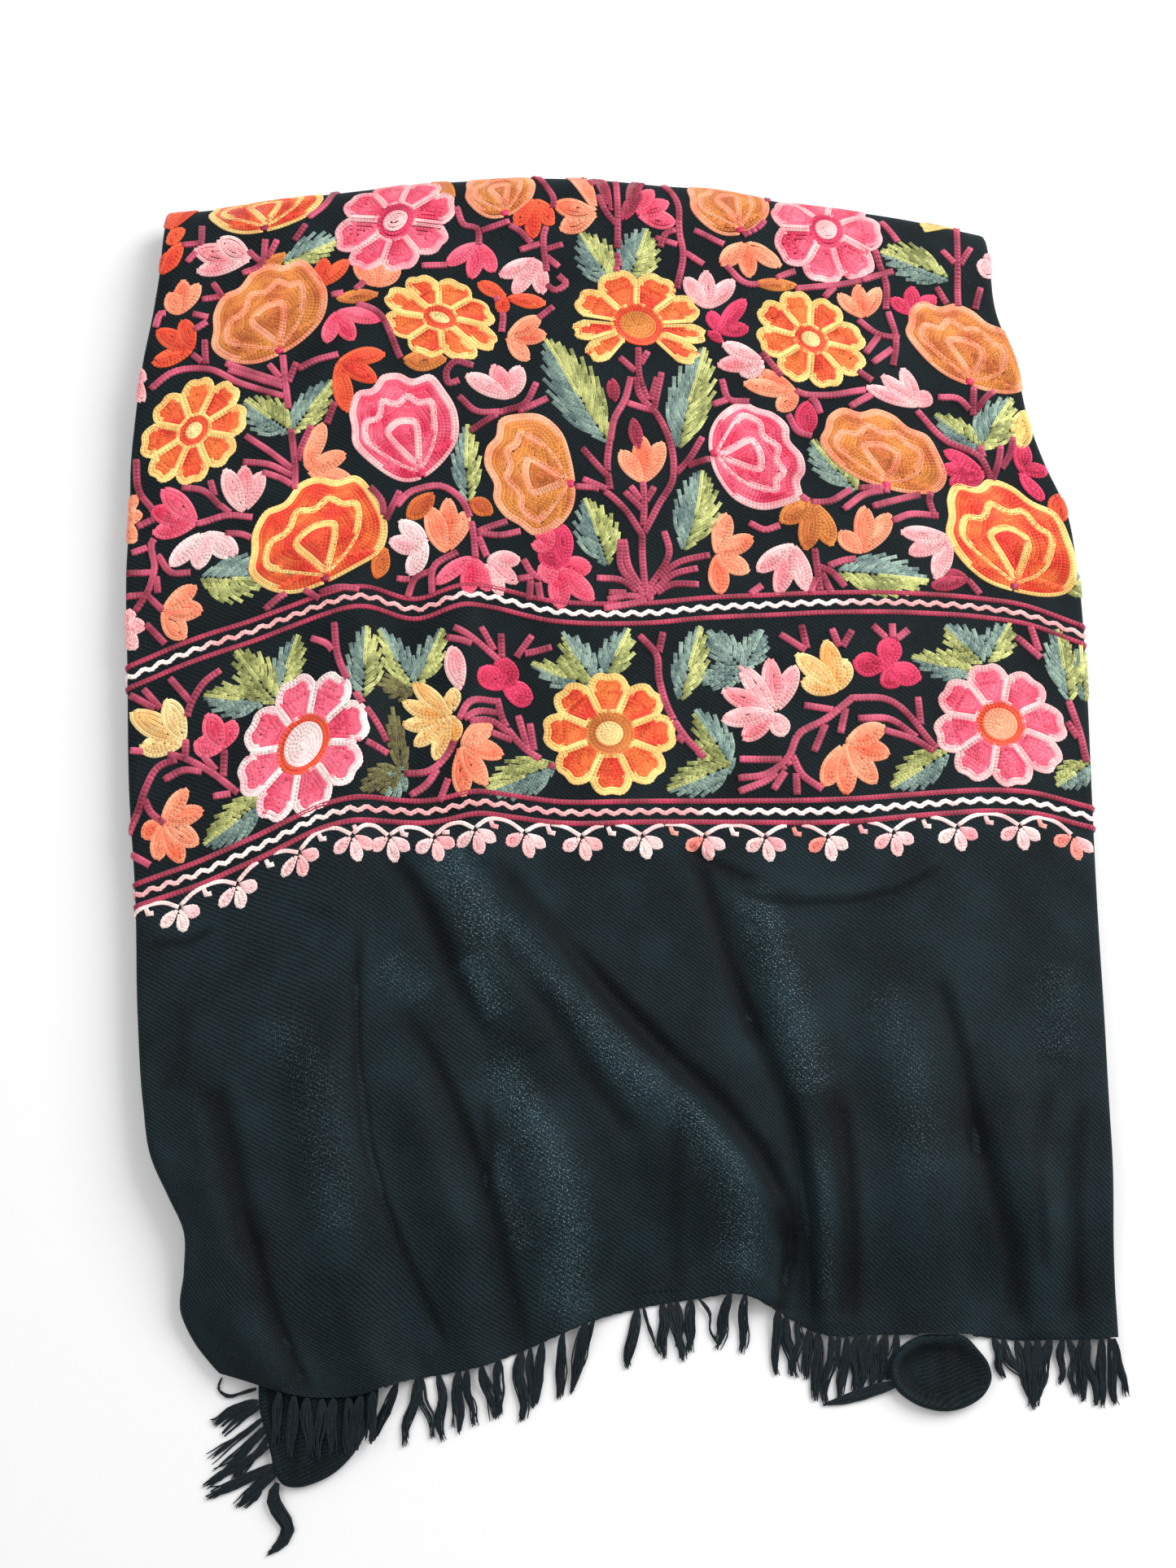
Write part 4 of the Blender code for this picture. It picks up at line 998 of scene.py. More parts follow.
def is_inside(outline, spots):
    """Which spots lie inside an outline."""
    x, y = spots[:, 0], spots[:, 1]
    found = np.zeros(len(spots), bool)
    for (ax, ay), (bx, by) in zip(outline, np.roll(outline, -1, axis=0)):
        if ay != by:
            found ^= ((ay > y) != (by > y)) & (x < (bx - ax) * (y - ay) / (by - ay) + ax)
    return found


def close_gaps(piece, outline, dye, tone, way):
    """Single stitches wherever a filled shape still shows the ground."""
    outline = np.asarray(outline, float)
    low, high = outline.min(axis=0), outline.max(axis=0)
    a, b = np.meshgrid(*(np.arange(low[k], high[k], CELL) for k in (0, 1)))
    spots = np.stack([a.ravel(), b.ravel()], axis=1)
    spots = spots[is_inside(outline, spots)]
    for spot in spots[away_from(resampled(outline), spots) > EDGE_MARGIN]:
        if not is_hidden(*spot):
            sew(piece, [spot - way, spot + way], dye, tone, free=True)


def read_line(knots, points, at):
    """Places on the smooth line through points, at distances along it."""
    return np.stack([smooth_curve(knots, points[:, k], at) for k in (0, 1)], axis=1)


def curve_through(points, count=24):
    """A smooth line through a few points."""
    points = np.asarray(points, float)
    if len(points) < 3:
        return points
    knots = distances(points)
    return read_line(knots, points, np.linspace(0.0, knots[-1], count))


def loop_through(points, count=90):
    """A smooth closed line through a few points."""
    points = np.asarray(points, float)
    wrapped = np.concatenate([points[-3:], points, points[:4]])
    knots = distances(wrapped)
    return read_line(knots, wrapped, np.linspace(knots[3], knots[3 + len(points)], count + 1)[:-1])


square = [(0, 0), (10, 0), (10, 10), (0, 10)]
print("a square of 10 mm holds", len(rows_inside(square)), "rows, one inside the other")

# %% [markdown]
# ## Wheel flowers
#
# A wheel-shaped flower has seven or eight petals with heart-shaped ends. Each is edged in
# a pale yarn, twice round its end, and filled in a deep one. A ring and a small disc
# close the middle.

# %% Petals of a wheel
def on_wheel(wheel, radii, angles):
    """Points of a wheel, from share of its radius and angle."""
    (across, along), half_width, half_height, turn = wheel
    x = half_width * radii * np.cos(angles)
    y = half_height * radii * np.sin(angles)
    c, s = math.cos(turn), math.sin(turn)
    return np.stack([across + x * c - y * s, along + x * s + y * c], axis=1)


def petal_outline(inner, half_angle):
    """One petal as radii and angles: a wedge whose end is a shallow heart."""
    side = np.linspace(inner, 0.8, 7)
    sweep = np.linspace(-0.96, 0.96, 15)
    end = 1.0 - 0.2 * np.abs(sweep) ** 2.6 - 0.045 * np.exp(-((sweep / 0.25) ** 2))
    radii = np.concatenate([side, end, side[::-1]])
    angles = np.concatenate([np.full(7, -1.0), sweep, np.full(7, 1.0)]) * half_angle
    return radii, angles


WHEELS = {
    # kind: edge, its tone, fill, its tone, ring, rows of it, disc, share of the radius they take
    "pink": ("pink edge", 0.35, "rose", 0.65, "magenta", 2, "blush", 0.3),
    "amber": ("amber edge", 0.35, "ember", 0.6, "flame", 2, "straw", 0.28),
    "white_pink": ("white edge", 0.15, "rose", 0.35, "flame", 2, "white edge", 0.4),
    "border_amber": ("amber edge", 0.35, "ember", 0.75, "gold", 3, "straw", 0.36),
    "border_pink": ("pink edge", 0.15, "rose", 0.5, "flame", 2, "salmon", 0.36),
}


def sew_wheel(piece, wheel, angles, half_angles, kind):
    """A flower of petals round its middle, each at its own angle and as wide as its own."""
    edge, edge_tone, fill, fill_tone, ring, ring_rows, disc, inner = WHEELS[kind]
    centre, half_width, half_height, turn = wheel
    sew_rings(piece, (centre, half_width * inner, half_height * inner, turn), ring, ring_rows, disc)
    for k, (angle, half_angle) in enumerate(zip(angles, half_angles)):
        radii, sweep = petal_outline(inner, half_angle)
        petal = on_wheel(wheel, radii, sweep + angle)
        tip = on_wheel(wheel, np.array([0.75]), np.array([angle]))[0]
        deepness = fill_tone + 0.22 * math.sin(k * 2.4 + centre[0])
        for row, line in enumerate(rows_inside(petal)):
            out = np.hypot(*((line - centre) / (half_width, half_height)).T) > 0.7
            if row == 0:
                sew(piece, line, edge, edge_tone, closed=True)
            elif row == 1:
                sew(piece, line[~out], fill, deepness)
                sew(piece, line[out], edge, edge_tone + 0.2)
            else:
                sew(piece, line, fill, deepness - 0.1 * row, closed=True)
        close_gaps(piece, petal, fill, deepness - 0.15, unit(tip - np.array(centre)))


def sew_rings(piece, wheel, ring, ring_rows, disc):
    """The middle of a flower: rings that shrink to a dot."""
    around = np.linspace(0, 2 * math.pi, 41)[:-1]
    outline = on_wheel(wheel, np.ones(40), around)
    for k, line in enumerate(rows_inside(outline)):
        dye, tone = (ring, 0.35 + 0.15 * k) if k < ring_rows else (disc, 0.2)
        sew(piece, line, dye, tone, closed=True, spread=0.15)
    close_gaps(piece, outline, disc, 0.2, np.array([1.0, 0.0]))


ROSETTES = [
    # across, along, half width, half height, turn, petals, kind
    (146, 578, 38, 30, 10, 8, "pink"),
    (176, 518, 38, 24, -28, 8, "amber"),
    (37, 473, 30, 30, 0, 8, "amber"),
    (396, 515, 32, 32, 10, 8, "amber"),
    (413, 585, 35, 32, 5, 7, "pink"),
    (96, 282, 36, 38, 8, 8, "white_pink"),
    (258, 285, 36, 35, 0, 8, "border_amber"),
    (465, 285, 36, 36, 12, 8, "border_pink"),
]


def flower_piece(across):
    """The flowers are two pieces, so that neither gets too large."""
    return "flowers_left" if across < 250 else "flowers_right"


for across, along, half_width, half_height, turn, petals, kind in ROSETTES:
    wheel = ((across, along), half_width, half_height, math.radians(turn))
    angles = np.arange(petals) * 2 * math.pi / petals
    sew_wheel(flower_piece(across), wheel, angles, [math.pi / petals] * petals, kind)
print("wheel flowers:", len(ROSETTES))

# %% [markdown]
# ## The fan over the middle
#
# The middle flower is a half wheel: eight petals round an oval heart, open below
# where its stalk comes in, with the lowest petal on each side drooping.

# %% Sew the fan
FAN = ((295, 516), 40.32, 33.12, 0.0)  # centre, half width, half height, turn
FAN_PETALS = np.radians([-38, -10, 24, 66, 112, 154, 190, 218])
FAN_SPREAD = np.radians([14, 13, 19, 23, 23, 19, 13, 14])
WHEELS["fan"] = ("amber edge", 0.35, "ember", 0.75, "flame", 2, "gold", 0.36)

sew_wheel("flowers_right", FAN, FAN_PETALS, FAN_SPREAD, "fan")
print("fan petals:", len(FAN_PETALS))

# %% [markdown]
# ## Roses
#
# A rose seen from the side is three pale outlines that all start at one point at its
# base: a scalloped cup, a zigzag crown inside it, and a small heart. The bands left
# between them are filled in a deep yarn and read as petals.

# %% Outlines of a rose
ROSE_CUP = [
    # sideways, up, for a rose whose half width and height are one
    (0.0, -0.03), (-0.45, 0.02), (-0.84, 0.2), (-1.04, 0.46), (-0.96, 0.6), (-0.9, 0.78), (-0.64, 0.94),
    (-0.38, 0.93), (-0.08, 1.04), (0.26, 1.02), (0.46, 0.93), (0.78, 0.9), (0.98, 0.66), (1.05, 0.4),
    (0.86, 0.14), (0.42, 0.0),
]
ROSE_CROWN = [
    # sideways, up
    (-0.04, 0.06), (-0.42, 0.22), (-0.8, 0.44), (-0.66, 0.63), (-0.44, 0.64), (-0.22, 0.8), (0.04, 0.75),
    (0.28, 0.8), (0.5, 0.68), (0.64, 0.66), (0.62, 0.4), (0.36, 0.18), (0.06, 0.06),
]
ROSE_HEART = [
    # sideways, up
    (0.02, 0.07), (-0.2, 0.26), (-0.36, 0.5), (-0.04, 0.6), (0.3, 0.54), (0.24, 0.28),
]
ROSE_KINDS = {
    # kind: edge, its tone, deep yarn, its tone, heart, dot
    "pink": ("pink edge", 0.2, "rose", 0.55, "rose", "magenta"),
    "amber": ("amber edge", 0.35, "ember", 0.7, "flame", "wine"),
    "gold": ("salmon edge", 0.45, "gold", 0.45, "gold", "magenta"),
    "tawny": ("salmon edge", 0.3, "gold", 0.15, "gold", "magenta"),
}


def sew_rose(piece, base, crown, half_width, kind):
    """A rose that stands on its base and reaches up to its crown."""
    edge, edge_tone, deep, deep_tone, heart, dot = ROSE_KINDS[kind]
    base, crown = np.array(base, float), np.array(crown, float)
    up = crown - base
    right = np.array([up[1], -up[0]]) / math.hypot(*up)
    mirrored = -1.0 if right[0] * up[1] < 0 else 1.0

    def placed(points):
        """Points of an outline, moved from the tables to the cloth."""
        points = np.asarray(points, float)
        return base + right * (mirrored * half_width * points[:, :1]) + up * points[:, 1:]

    def second_row(line):
        """A line right beside another one."""
        run = np.gradient(line, axis=0)
        return line + unit(np.stack([run[:, 1], -run[:, 0]], axis=1)) * mirrored * ROW_WIDTH * 0.95

    way = unit(up)
    cup = loop_through(placed(ROSE_CUP))
    middle = loop_through(placed(ROSE_HEART))
    sew(piece, [base - right * 1.3 + way, base + right * 1.3 + way], dot, 0.5, width=3.2)
    rows = rows_inside(cup)
    height_up = [((line - base) @ way) / math.hypot(*up) for line in rows]
    sew(piece, rows[0], edge, edge_tone, closed=True)
    upper = height_up[1] > 0.16
    sew(piece, rows[1][upper], edge, edge_tone + 0.1)
    crown_line = curve_through(placed(ROSE_CROWN), 60)
    sew(piece, crown_line, edge, edge_tone, spread=0.2)
    sew(piece, second_row(crown_line)[10:50], edge, edge_tone + 0.15, spread=0.2)
    for k, line in enumerate(rows_inside(middle)):
        sew(piece, line, edge if k < 2 else heart, edge_tone + 0.1 if k < 2 else 0.75, closed=True)
    close_gaps(piece, middle, heart, 0.7, way)
    sew(piece, rows[1][~upper], deep, deep_tone, spread=0.5)
    for k, line in enumerate(rows[2:]):
        sew(piece, line, deep, deep_tone + 0.2 * math.sin(k * 1.9), closed=True, spread=0.5)
    close_gaps(piece, cup, deep, deep_tone, way)


ROSE_FULLNESS = 1.05  # how much wider a rose is sewn than its row says
ROSES = [
    # base, crown, half width, kind
    ((82, 508), (63, 559), 31, "gold"), ((164, 428), (146, 484), 28, "pink"),
    ((246, 425), (202, 432), 32, "tawny"), ((110, 366), (99, 425), 34, "amber"),
    ((65, 581), (63, 619), 32, "amber"), ((214, 577), (206, 612), 20, "gold"),
    ((360, 576), (345, 616), 23, "gold"), ((496, 615), (484, 623), 27, "amber"),
    ((328, 441), (376, 438), 29, "pink"), ((418, 423), (428, 470), 30, "gold"),
    ((483, 500), (490, 551), 30, "gold"), ((477, 368), (479, 434), 31, "amber"),
]

for base, crown, half_width, kind in ROSES:
    sew_rose(flower_piece(base[0]), base, crown, half_width * ROSE_FULLNESS, kind)
print("roses:", len(ROSES))

# %% [markdown]
# ## Leaves
#
# A leaf is two fans of short rows that leave the mid-rib on a slant and end as the
# teeth of its edge. One half is slate blue, the other olive, paler at the tip.

# %% Sew the leaves
LEAF_ROW = 1.8  # the rows of a leaf are finer
LEAF_FULLNESS = 1.14  # how much wider a leaf is sewn than its row says


def axes_of(base, tip):
    """A base as an array, the ways from it to a tip and to the left, and how far the tip is."""
    base = np.array(base, float)
    axis = np.array(tip, float) - base
    length = math.hypot(*axis)
    axis = axis / length
    return base, axis, np.array([-axis[1], axis[0]]), length


def sew_leaf(piece, base, tip, half_width, left_dye="slate", right_dye="olive"):
    """Two fans of rows on either side of a mid-rib."""
    base, axis, left, length = axes_of(base, tip)
    slant = math.atan2(half_width, 0.36 * length)
    teeth = max(int(round(0.8 * length * math.sin(slant) / LEAF_ROW)), 3)
    sew(piece, [base + axis * length * 0.45, tip], right_dye, 0.1)
    share = np.linspace(0.0, 1.0, 15)
    rib = base + axis * length * share[:, None]
    belly_line = half_width * 0.78 * np.sin(math.pi * share**0.9) ** 0.75
    for side, dye in ((1.0, left_dye), (-1.0, right_dye)):
        for k in range(teeth, -1, -1):
            start = k / teeth * 0.8
            end = min(start + 0.34, 0.98)
            reach = half_width * math.sin(math.pi * end**1.1) ** 0.7 if end < 1 else 0.0
            reach = max(reach, half_width * 0.16) * (1.0 if k % 2 else 0.82)
            foot = base + axis * length * start + left * side * 0.9
            head = base + axis * length * end + left * side * reach
            belly = (foot + head) / 2 + left * side * reach * 0.16 - axis * 0.8
            tone = 0.55 + 0.25 * math.sin(k * 2.2 + base[0])
            row = curve_through([foot, belly, head], 8)
            sew(piece, row, dye, [tone + 0.3, tone, tone - 0.45], width=1.9)
        half = np.concatenate([rib, (rib + left * side * belly_line[:, None])[::-1]])
        close_gaps(piece, half, dye, 0.7, unit(axis + left * side * 0.5))


LEAVES = [
    # base and tip, across and along, half width, then the two halves where they are not slate and olive
    (79, 563, 111, 572, 7.6), (91, 459, 65, 483, 8.7), (92, 458, 114, 484, 8.7), (44, 390, 80, 378, 11.2),
    (187, 408, 192, 452, 6.9), (270, 450, 239, 505, 13.0), (280, 539, 261, 568, 10.5),
    (291, 544, 302, 573, 11.4), (260, 381, 251, 417, 10.5), (310, 446, 332, 503, 11.1),
    (302, 388, 320, 431, 10.7), (485, 570, 446, 577, 8.9), (479, 457, 460, 475, 8.0),
    (479, 457, 505, 497, 8.2), (400, 420, 386, 450, 10.0), (384, 370, 431, 367, 11.1),
    (505, 377, 516, 391, 6.8), (81, 311, 61, 345, 8.3, "olive", "olive"), (82, 313, 94, 341, 8.0),
    (76, 313, 44, 328, 8.0), (128, 299, 131, 336, 8.3), (154, 311, 138, 337, 8.0, "olive", "slate"),
    (156, 312, 171, 338, 7.6), (154, 309, 136, 306, 6.2, "dark olive", "dark olive"),
    (148, 260, 143, 296, 4.3, "dark olive", "dark olive"),
    (148, 264, 126, 251, 5.8, "dark olive", "dark olive"), (149, 264, 138, 247, 5.1, "slate", "slate"),
    (228, 267, 192, 248, 9.0), (74, 263, 41, 255, 9.4), (250, 312, 218, 321, 6.9),
    (250, 314, 235, 341, 7.6, "olive", "slate"), (256, 317, 270, 344, 7.6), (296, 304, 308, 343, 8.1),
    (330, 318, 312, 340, 7.3, "slate", "slate"), (331, 319, 341, 339, 6.5, "slate", "slate"),
    (329, 315, 306, 314, 6.1, "slate", "slate"), (322, 266, 304, 297, 8.1, "olive", "slate"),
    (322, 267, 288, 254, 8.4), (452, 314, 420, 322, 7.3), (457, 321, 439, 341, 8.8, "olive", "slate"),
    (460, 322, 473, 346, 7.3), (502, 309, 498, 350, 8.4), (436, 268, 406, 252, 8.4),
    (511, 272, 494, 255, 6.5), (510, 312, 510, 346, 5.0),
]

for x, y, tip_x, tip_y, half_width, *dyes in LEAVES:
    sew_leaf("leaves", (x, y), (tip_x, tip_y), half_width * LEAF_FULLNESS, *dyes)
print("leaves:", len(LEAVES))

# %% [markdown]
# ## Bells, buds and ovals
#
# Small flowers are a few long petals from one point. A petal is one loop of chain
# stitch, with a row or a smaller loop inside it.

# %% Sew the small petals
def sew_petal(piece, base, tip, half_width, dye, tone=0.5, blunt=0.58, fullest=1.2, row=ROW_WIDTH):
    """A petal from its base to its tip. Fullest says where it is widest, blunt how round its ends are."""
    base, axis, left, length = axes_of(base, tip)
    t = np.linspace(0.0, 1.0, 13)
    swell = (half_width * 1.08 + 0.4) * np.sin(math.pi * t**fullest) ** blunt
    spine = base + axis * (length * t)[:, None]
    outline = np.concatenate([spine + left * swell[:, None], (spine - left * swell[:, None])[-2:0:-1]])
    for k, line in enumerate(rows_inside(outline, row)):
        sew(piece, line, dye, tone - 0.15 + 0.3 * min(k, 1), row, closed=True, spread=0.3)
    close_gaps(piece, outline, dye, tone + 0.2, axis)


OVALS = [
    # one end and other end, across and along, half width, yarn
    (112, 535, 138, 535, 3.6, "gold"), (65, 559, 79, 568, 3.6, "gold"), (154, 496, 180, 492, 5.4, "gold"),
    (167, 615, 182, 585, 4.3, "gold"), (153, 404, 169, 417, 5.1, "rust"),
    (188, 408, 200, 401, 4.9, "rust"), (136, 364, 142, 384, 3.8, "rust"),
    (367, 547, 394, 550, 3.4, "gold"), (383, 453, 388, 475, 5.3, "magenta"),
    (504, 419, 511, 440, 4.3, "flame"), (499, 374, 508, 395, 4.1, "gold"),
    (501, 464, 511, 492, 4.6, "amber edge"), (290, 580, 300, 617, 3.6, "wine"),
    (286, 575, 299, 594, 3.6, "wine"), (268, 619, 280, 579, 3.1, "wine"),
    (276, 485, 277, 471, 3.1, "wine"), (287, 463, 287, 445, 3.3, "wine"),
]

for x, y, end_x, end_y, half_width, dye in OVALS:
    sew_petal("small_flowers", (x, y), (end_x, end_y), half_width, dye, blunt=0.7, fullest=1.0)

BELLS = [
    # yarn, petal half width, base, then each petal tip, across and along
    ("blush", 4.7, 58, 568, 36, 580, 22, 576, 25, 565),
    ("salmon", 4.3, 19, 541, 10, 554, 18, 561, 28, 558), ("flame", 4.3, 31, 519, 21, 538, 7, 534, 8, 516),
    ("flame", 4.3, 102, 544, 89, 555, 103, 562, 118, 559),
    ("salmon", 4.3, 136, 540, 122, 558, 136, 558, 150, 551),
    ("rose", 4.3, 113, 527, 141, 519, 125, 507, 109, 508),
    ("flame", 4.7, 116, 495, 144, 498, 140, 481, 124, 463),
    ("rose", 4.3, 198, 563, 178, 550, 194, 540, 208, 544),
    ("blush", 4.5, 234, 552, 211, 542, 220, 531, 238, 531),
    ("flame", 4.3, 232, 585, 220, 572, 231, 564, 244, 572),
    ("salmon", 4.7, 271, 578, 252, 620, 244, 582, 248, 570),
    ("flame", 3.6, 216, 529, 198, 538, 212, 520, 240, 526),
    ("salmon", 4.3, 216, 506, 237, 518, 240, 508, 228, 493),
    ("blush", 4.9, 217, 470, 191, 482, 207, 489, 223, 490),
    ("salmon", 4.9, 100, 434, 110, 460, 123, 438, 126, 420),
    ("blush", 4.7, 64, 420, 55, 447, 66, 446, 76, 440), ("rose", 4.7, 40, 421, 20, 446, 14, 437, 16, 424),
    ("pale", 5.1, 44, 415, 26, 402, 42, 395, 62, 396),
    ("salmon", 4.7, 22, 380, 41, 386, 44, 372, 34, 361), ("blush", 3.6, -2, 383, 8, 385, 13, 375, 8, 366),
    ("salmon", 4.9, 174, 380, 165, 410, 176, 412, 186, 402),
    ("pale", 4.7, 164, 390, 149, 402, 143, 388, 154, 372),
    ("rose", 4.3, 189, 375, 168, 364, 185, 353, 196, 356),
    ("blush", 4.0, 196, 374, 214, 378, 212, 364, 203, 355),
    ("rose", 2.7, 230, 386, 220, 389, 223, 398, 230, 400), ("magenta", 5.4, 237, 378, 236, 403, 224, 386),
    ("rose", 5.1, 234, 378, 224, 370, 234, 354, 252, 360, 252, 379),
    ("rose", 2.5, -17, 566, -5, 561, -1, 553), ("flame", 5.4, 7, 588, 3, 608, 18, 617, 13, 581),
    ("flame", 4.0, 3, 565, 15, 580, 8, 576), ("blush", 3.3, -6, 516, 6, 507, 7, 495),
    ("salmon", 3.3, -2, 437, 7, 447, 10, 435, 7, 422),
    ("rose", 4.3, 295, 580, 306, 597, 316, 588, 320, 577),
    ("salmon", 4.8, 363, 572, 347, 555, 364, 550, 384, 561),
    ("blush", 4.6, 338, 527, 325, 546, 338, 551, 355, 547),
    ("magenta", 3.9, 342, 513, 362, 536, 361, 518, 340, 526, 338, 508),
    ("blush", 4.5, 366, 497, 343, 506, 338, 493, 351, 488),
    ("salmon", 4.5, 383, 479, 352, 483, 360, 492, 370, 468),
    ("salmon", 4.1, 431, 533, 418, 548, 431, 556, 444, 556),
    ("magenta", 4.1, 461, 540, 450, 550, 464, 560, 477, 556),
    ("blush", 4.1, 451, 478, 422, 486, 432, 495, 445, 502, 458, 489),
    ("magenta", 4.3, 476, 440, 458, 452, 452, 439, 454, 429),
    ("magenta", 3.9, 496, 448, 505, 470, 511, 456, 500, 431),
    ("gold", 5.2, 375, 412, 355, 400, 367, 383, 381, 385),
    ("salmon", 4.8, 397, 381, 386, 394, 402, 410, 415, 406),
    ("blush", 4.5, 446, 395, 419, 395, 422, 382, 435, 368),
    ("blush", 4.6, 361, 387, 340, 372, 350, 358, 366, 359),
    ("salmon", 4.8, 319, 383, 327, 407, 340, 392, 336, 372, 320, 360),
    ("salmon", 4.8, 285, 426, 277, 445, 291, 453, 302, 449), ("blush", 4.3, 516, 578, 504, 580, 511, 588),
    ("wine", 3.6, 453, 370, 432, 363, 440, 372), ("cream", 5.1, 33, 308, 23, 334, 4, 335, 9, 315),
    ("rose", 4.7, 53, 297, 45, 318, 59, 310, 38, 306),
    ("salmon", 4.3, 19, 274, 34, 285, 42, 271, 38, 256, 29, 250, 16, 255, 8, 270),
    ("straw", 4.0, 174, 290, 154, 313, 148, 301, 148, 288, 154, 277, 165, 268, 177, 275, 176, 304),
    ("salmon", 4.7, 179, 272, 196, 283, 202, 268, 192, 251, 180, 246),
    ("magenta", 6.2, 202, 303, 190, 313, 205, 321, 218, 302), ("blush", 4.7, 180, 301, 175, 327),
    ("blush", 4.6, 346, 294, 317, 291, 318, 307, 328, 321, 344, 324, 358, 319, 328, 280, 350, 281),
    ("straw", 4.8, 380, 304, 358, 325, 374, 332, 384, 321, 360, 310),
    ("magenta", 5.8, 405, 316, 410, 333, 388, 319, 424, 310, 411, 305),
    ("salmon", 5.0, 382, 276, 404, 284, 406, 269, 398, 254, 382, 249, 370, 254),
]

for dye, half_width, *places in BELLS:
    base, *tips = np.reshape(places, (-1, 2))
    for k, tip in enumerate(tips):
        sew_petal("small_flowers", base, tip, half_width, dye, 0.35 + 0.25 * (k % 2))
print("small flowers:", len(BELLS), "and ovals:", len(OVALS))

# %% [markdown]
# ## Stems
#
# Stems are single rows in a purplish pink that branch like coral. They come after the
# flowers and leaves, so that they stop at the edge of every one already sewn.

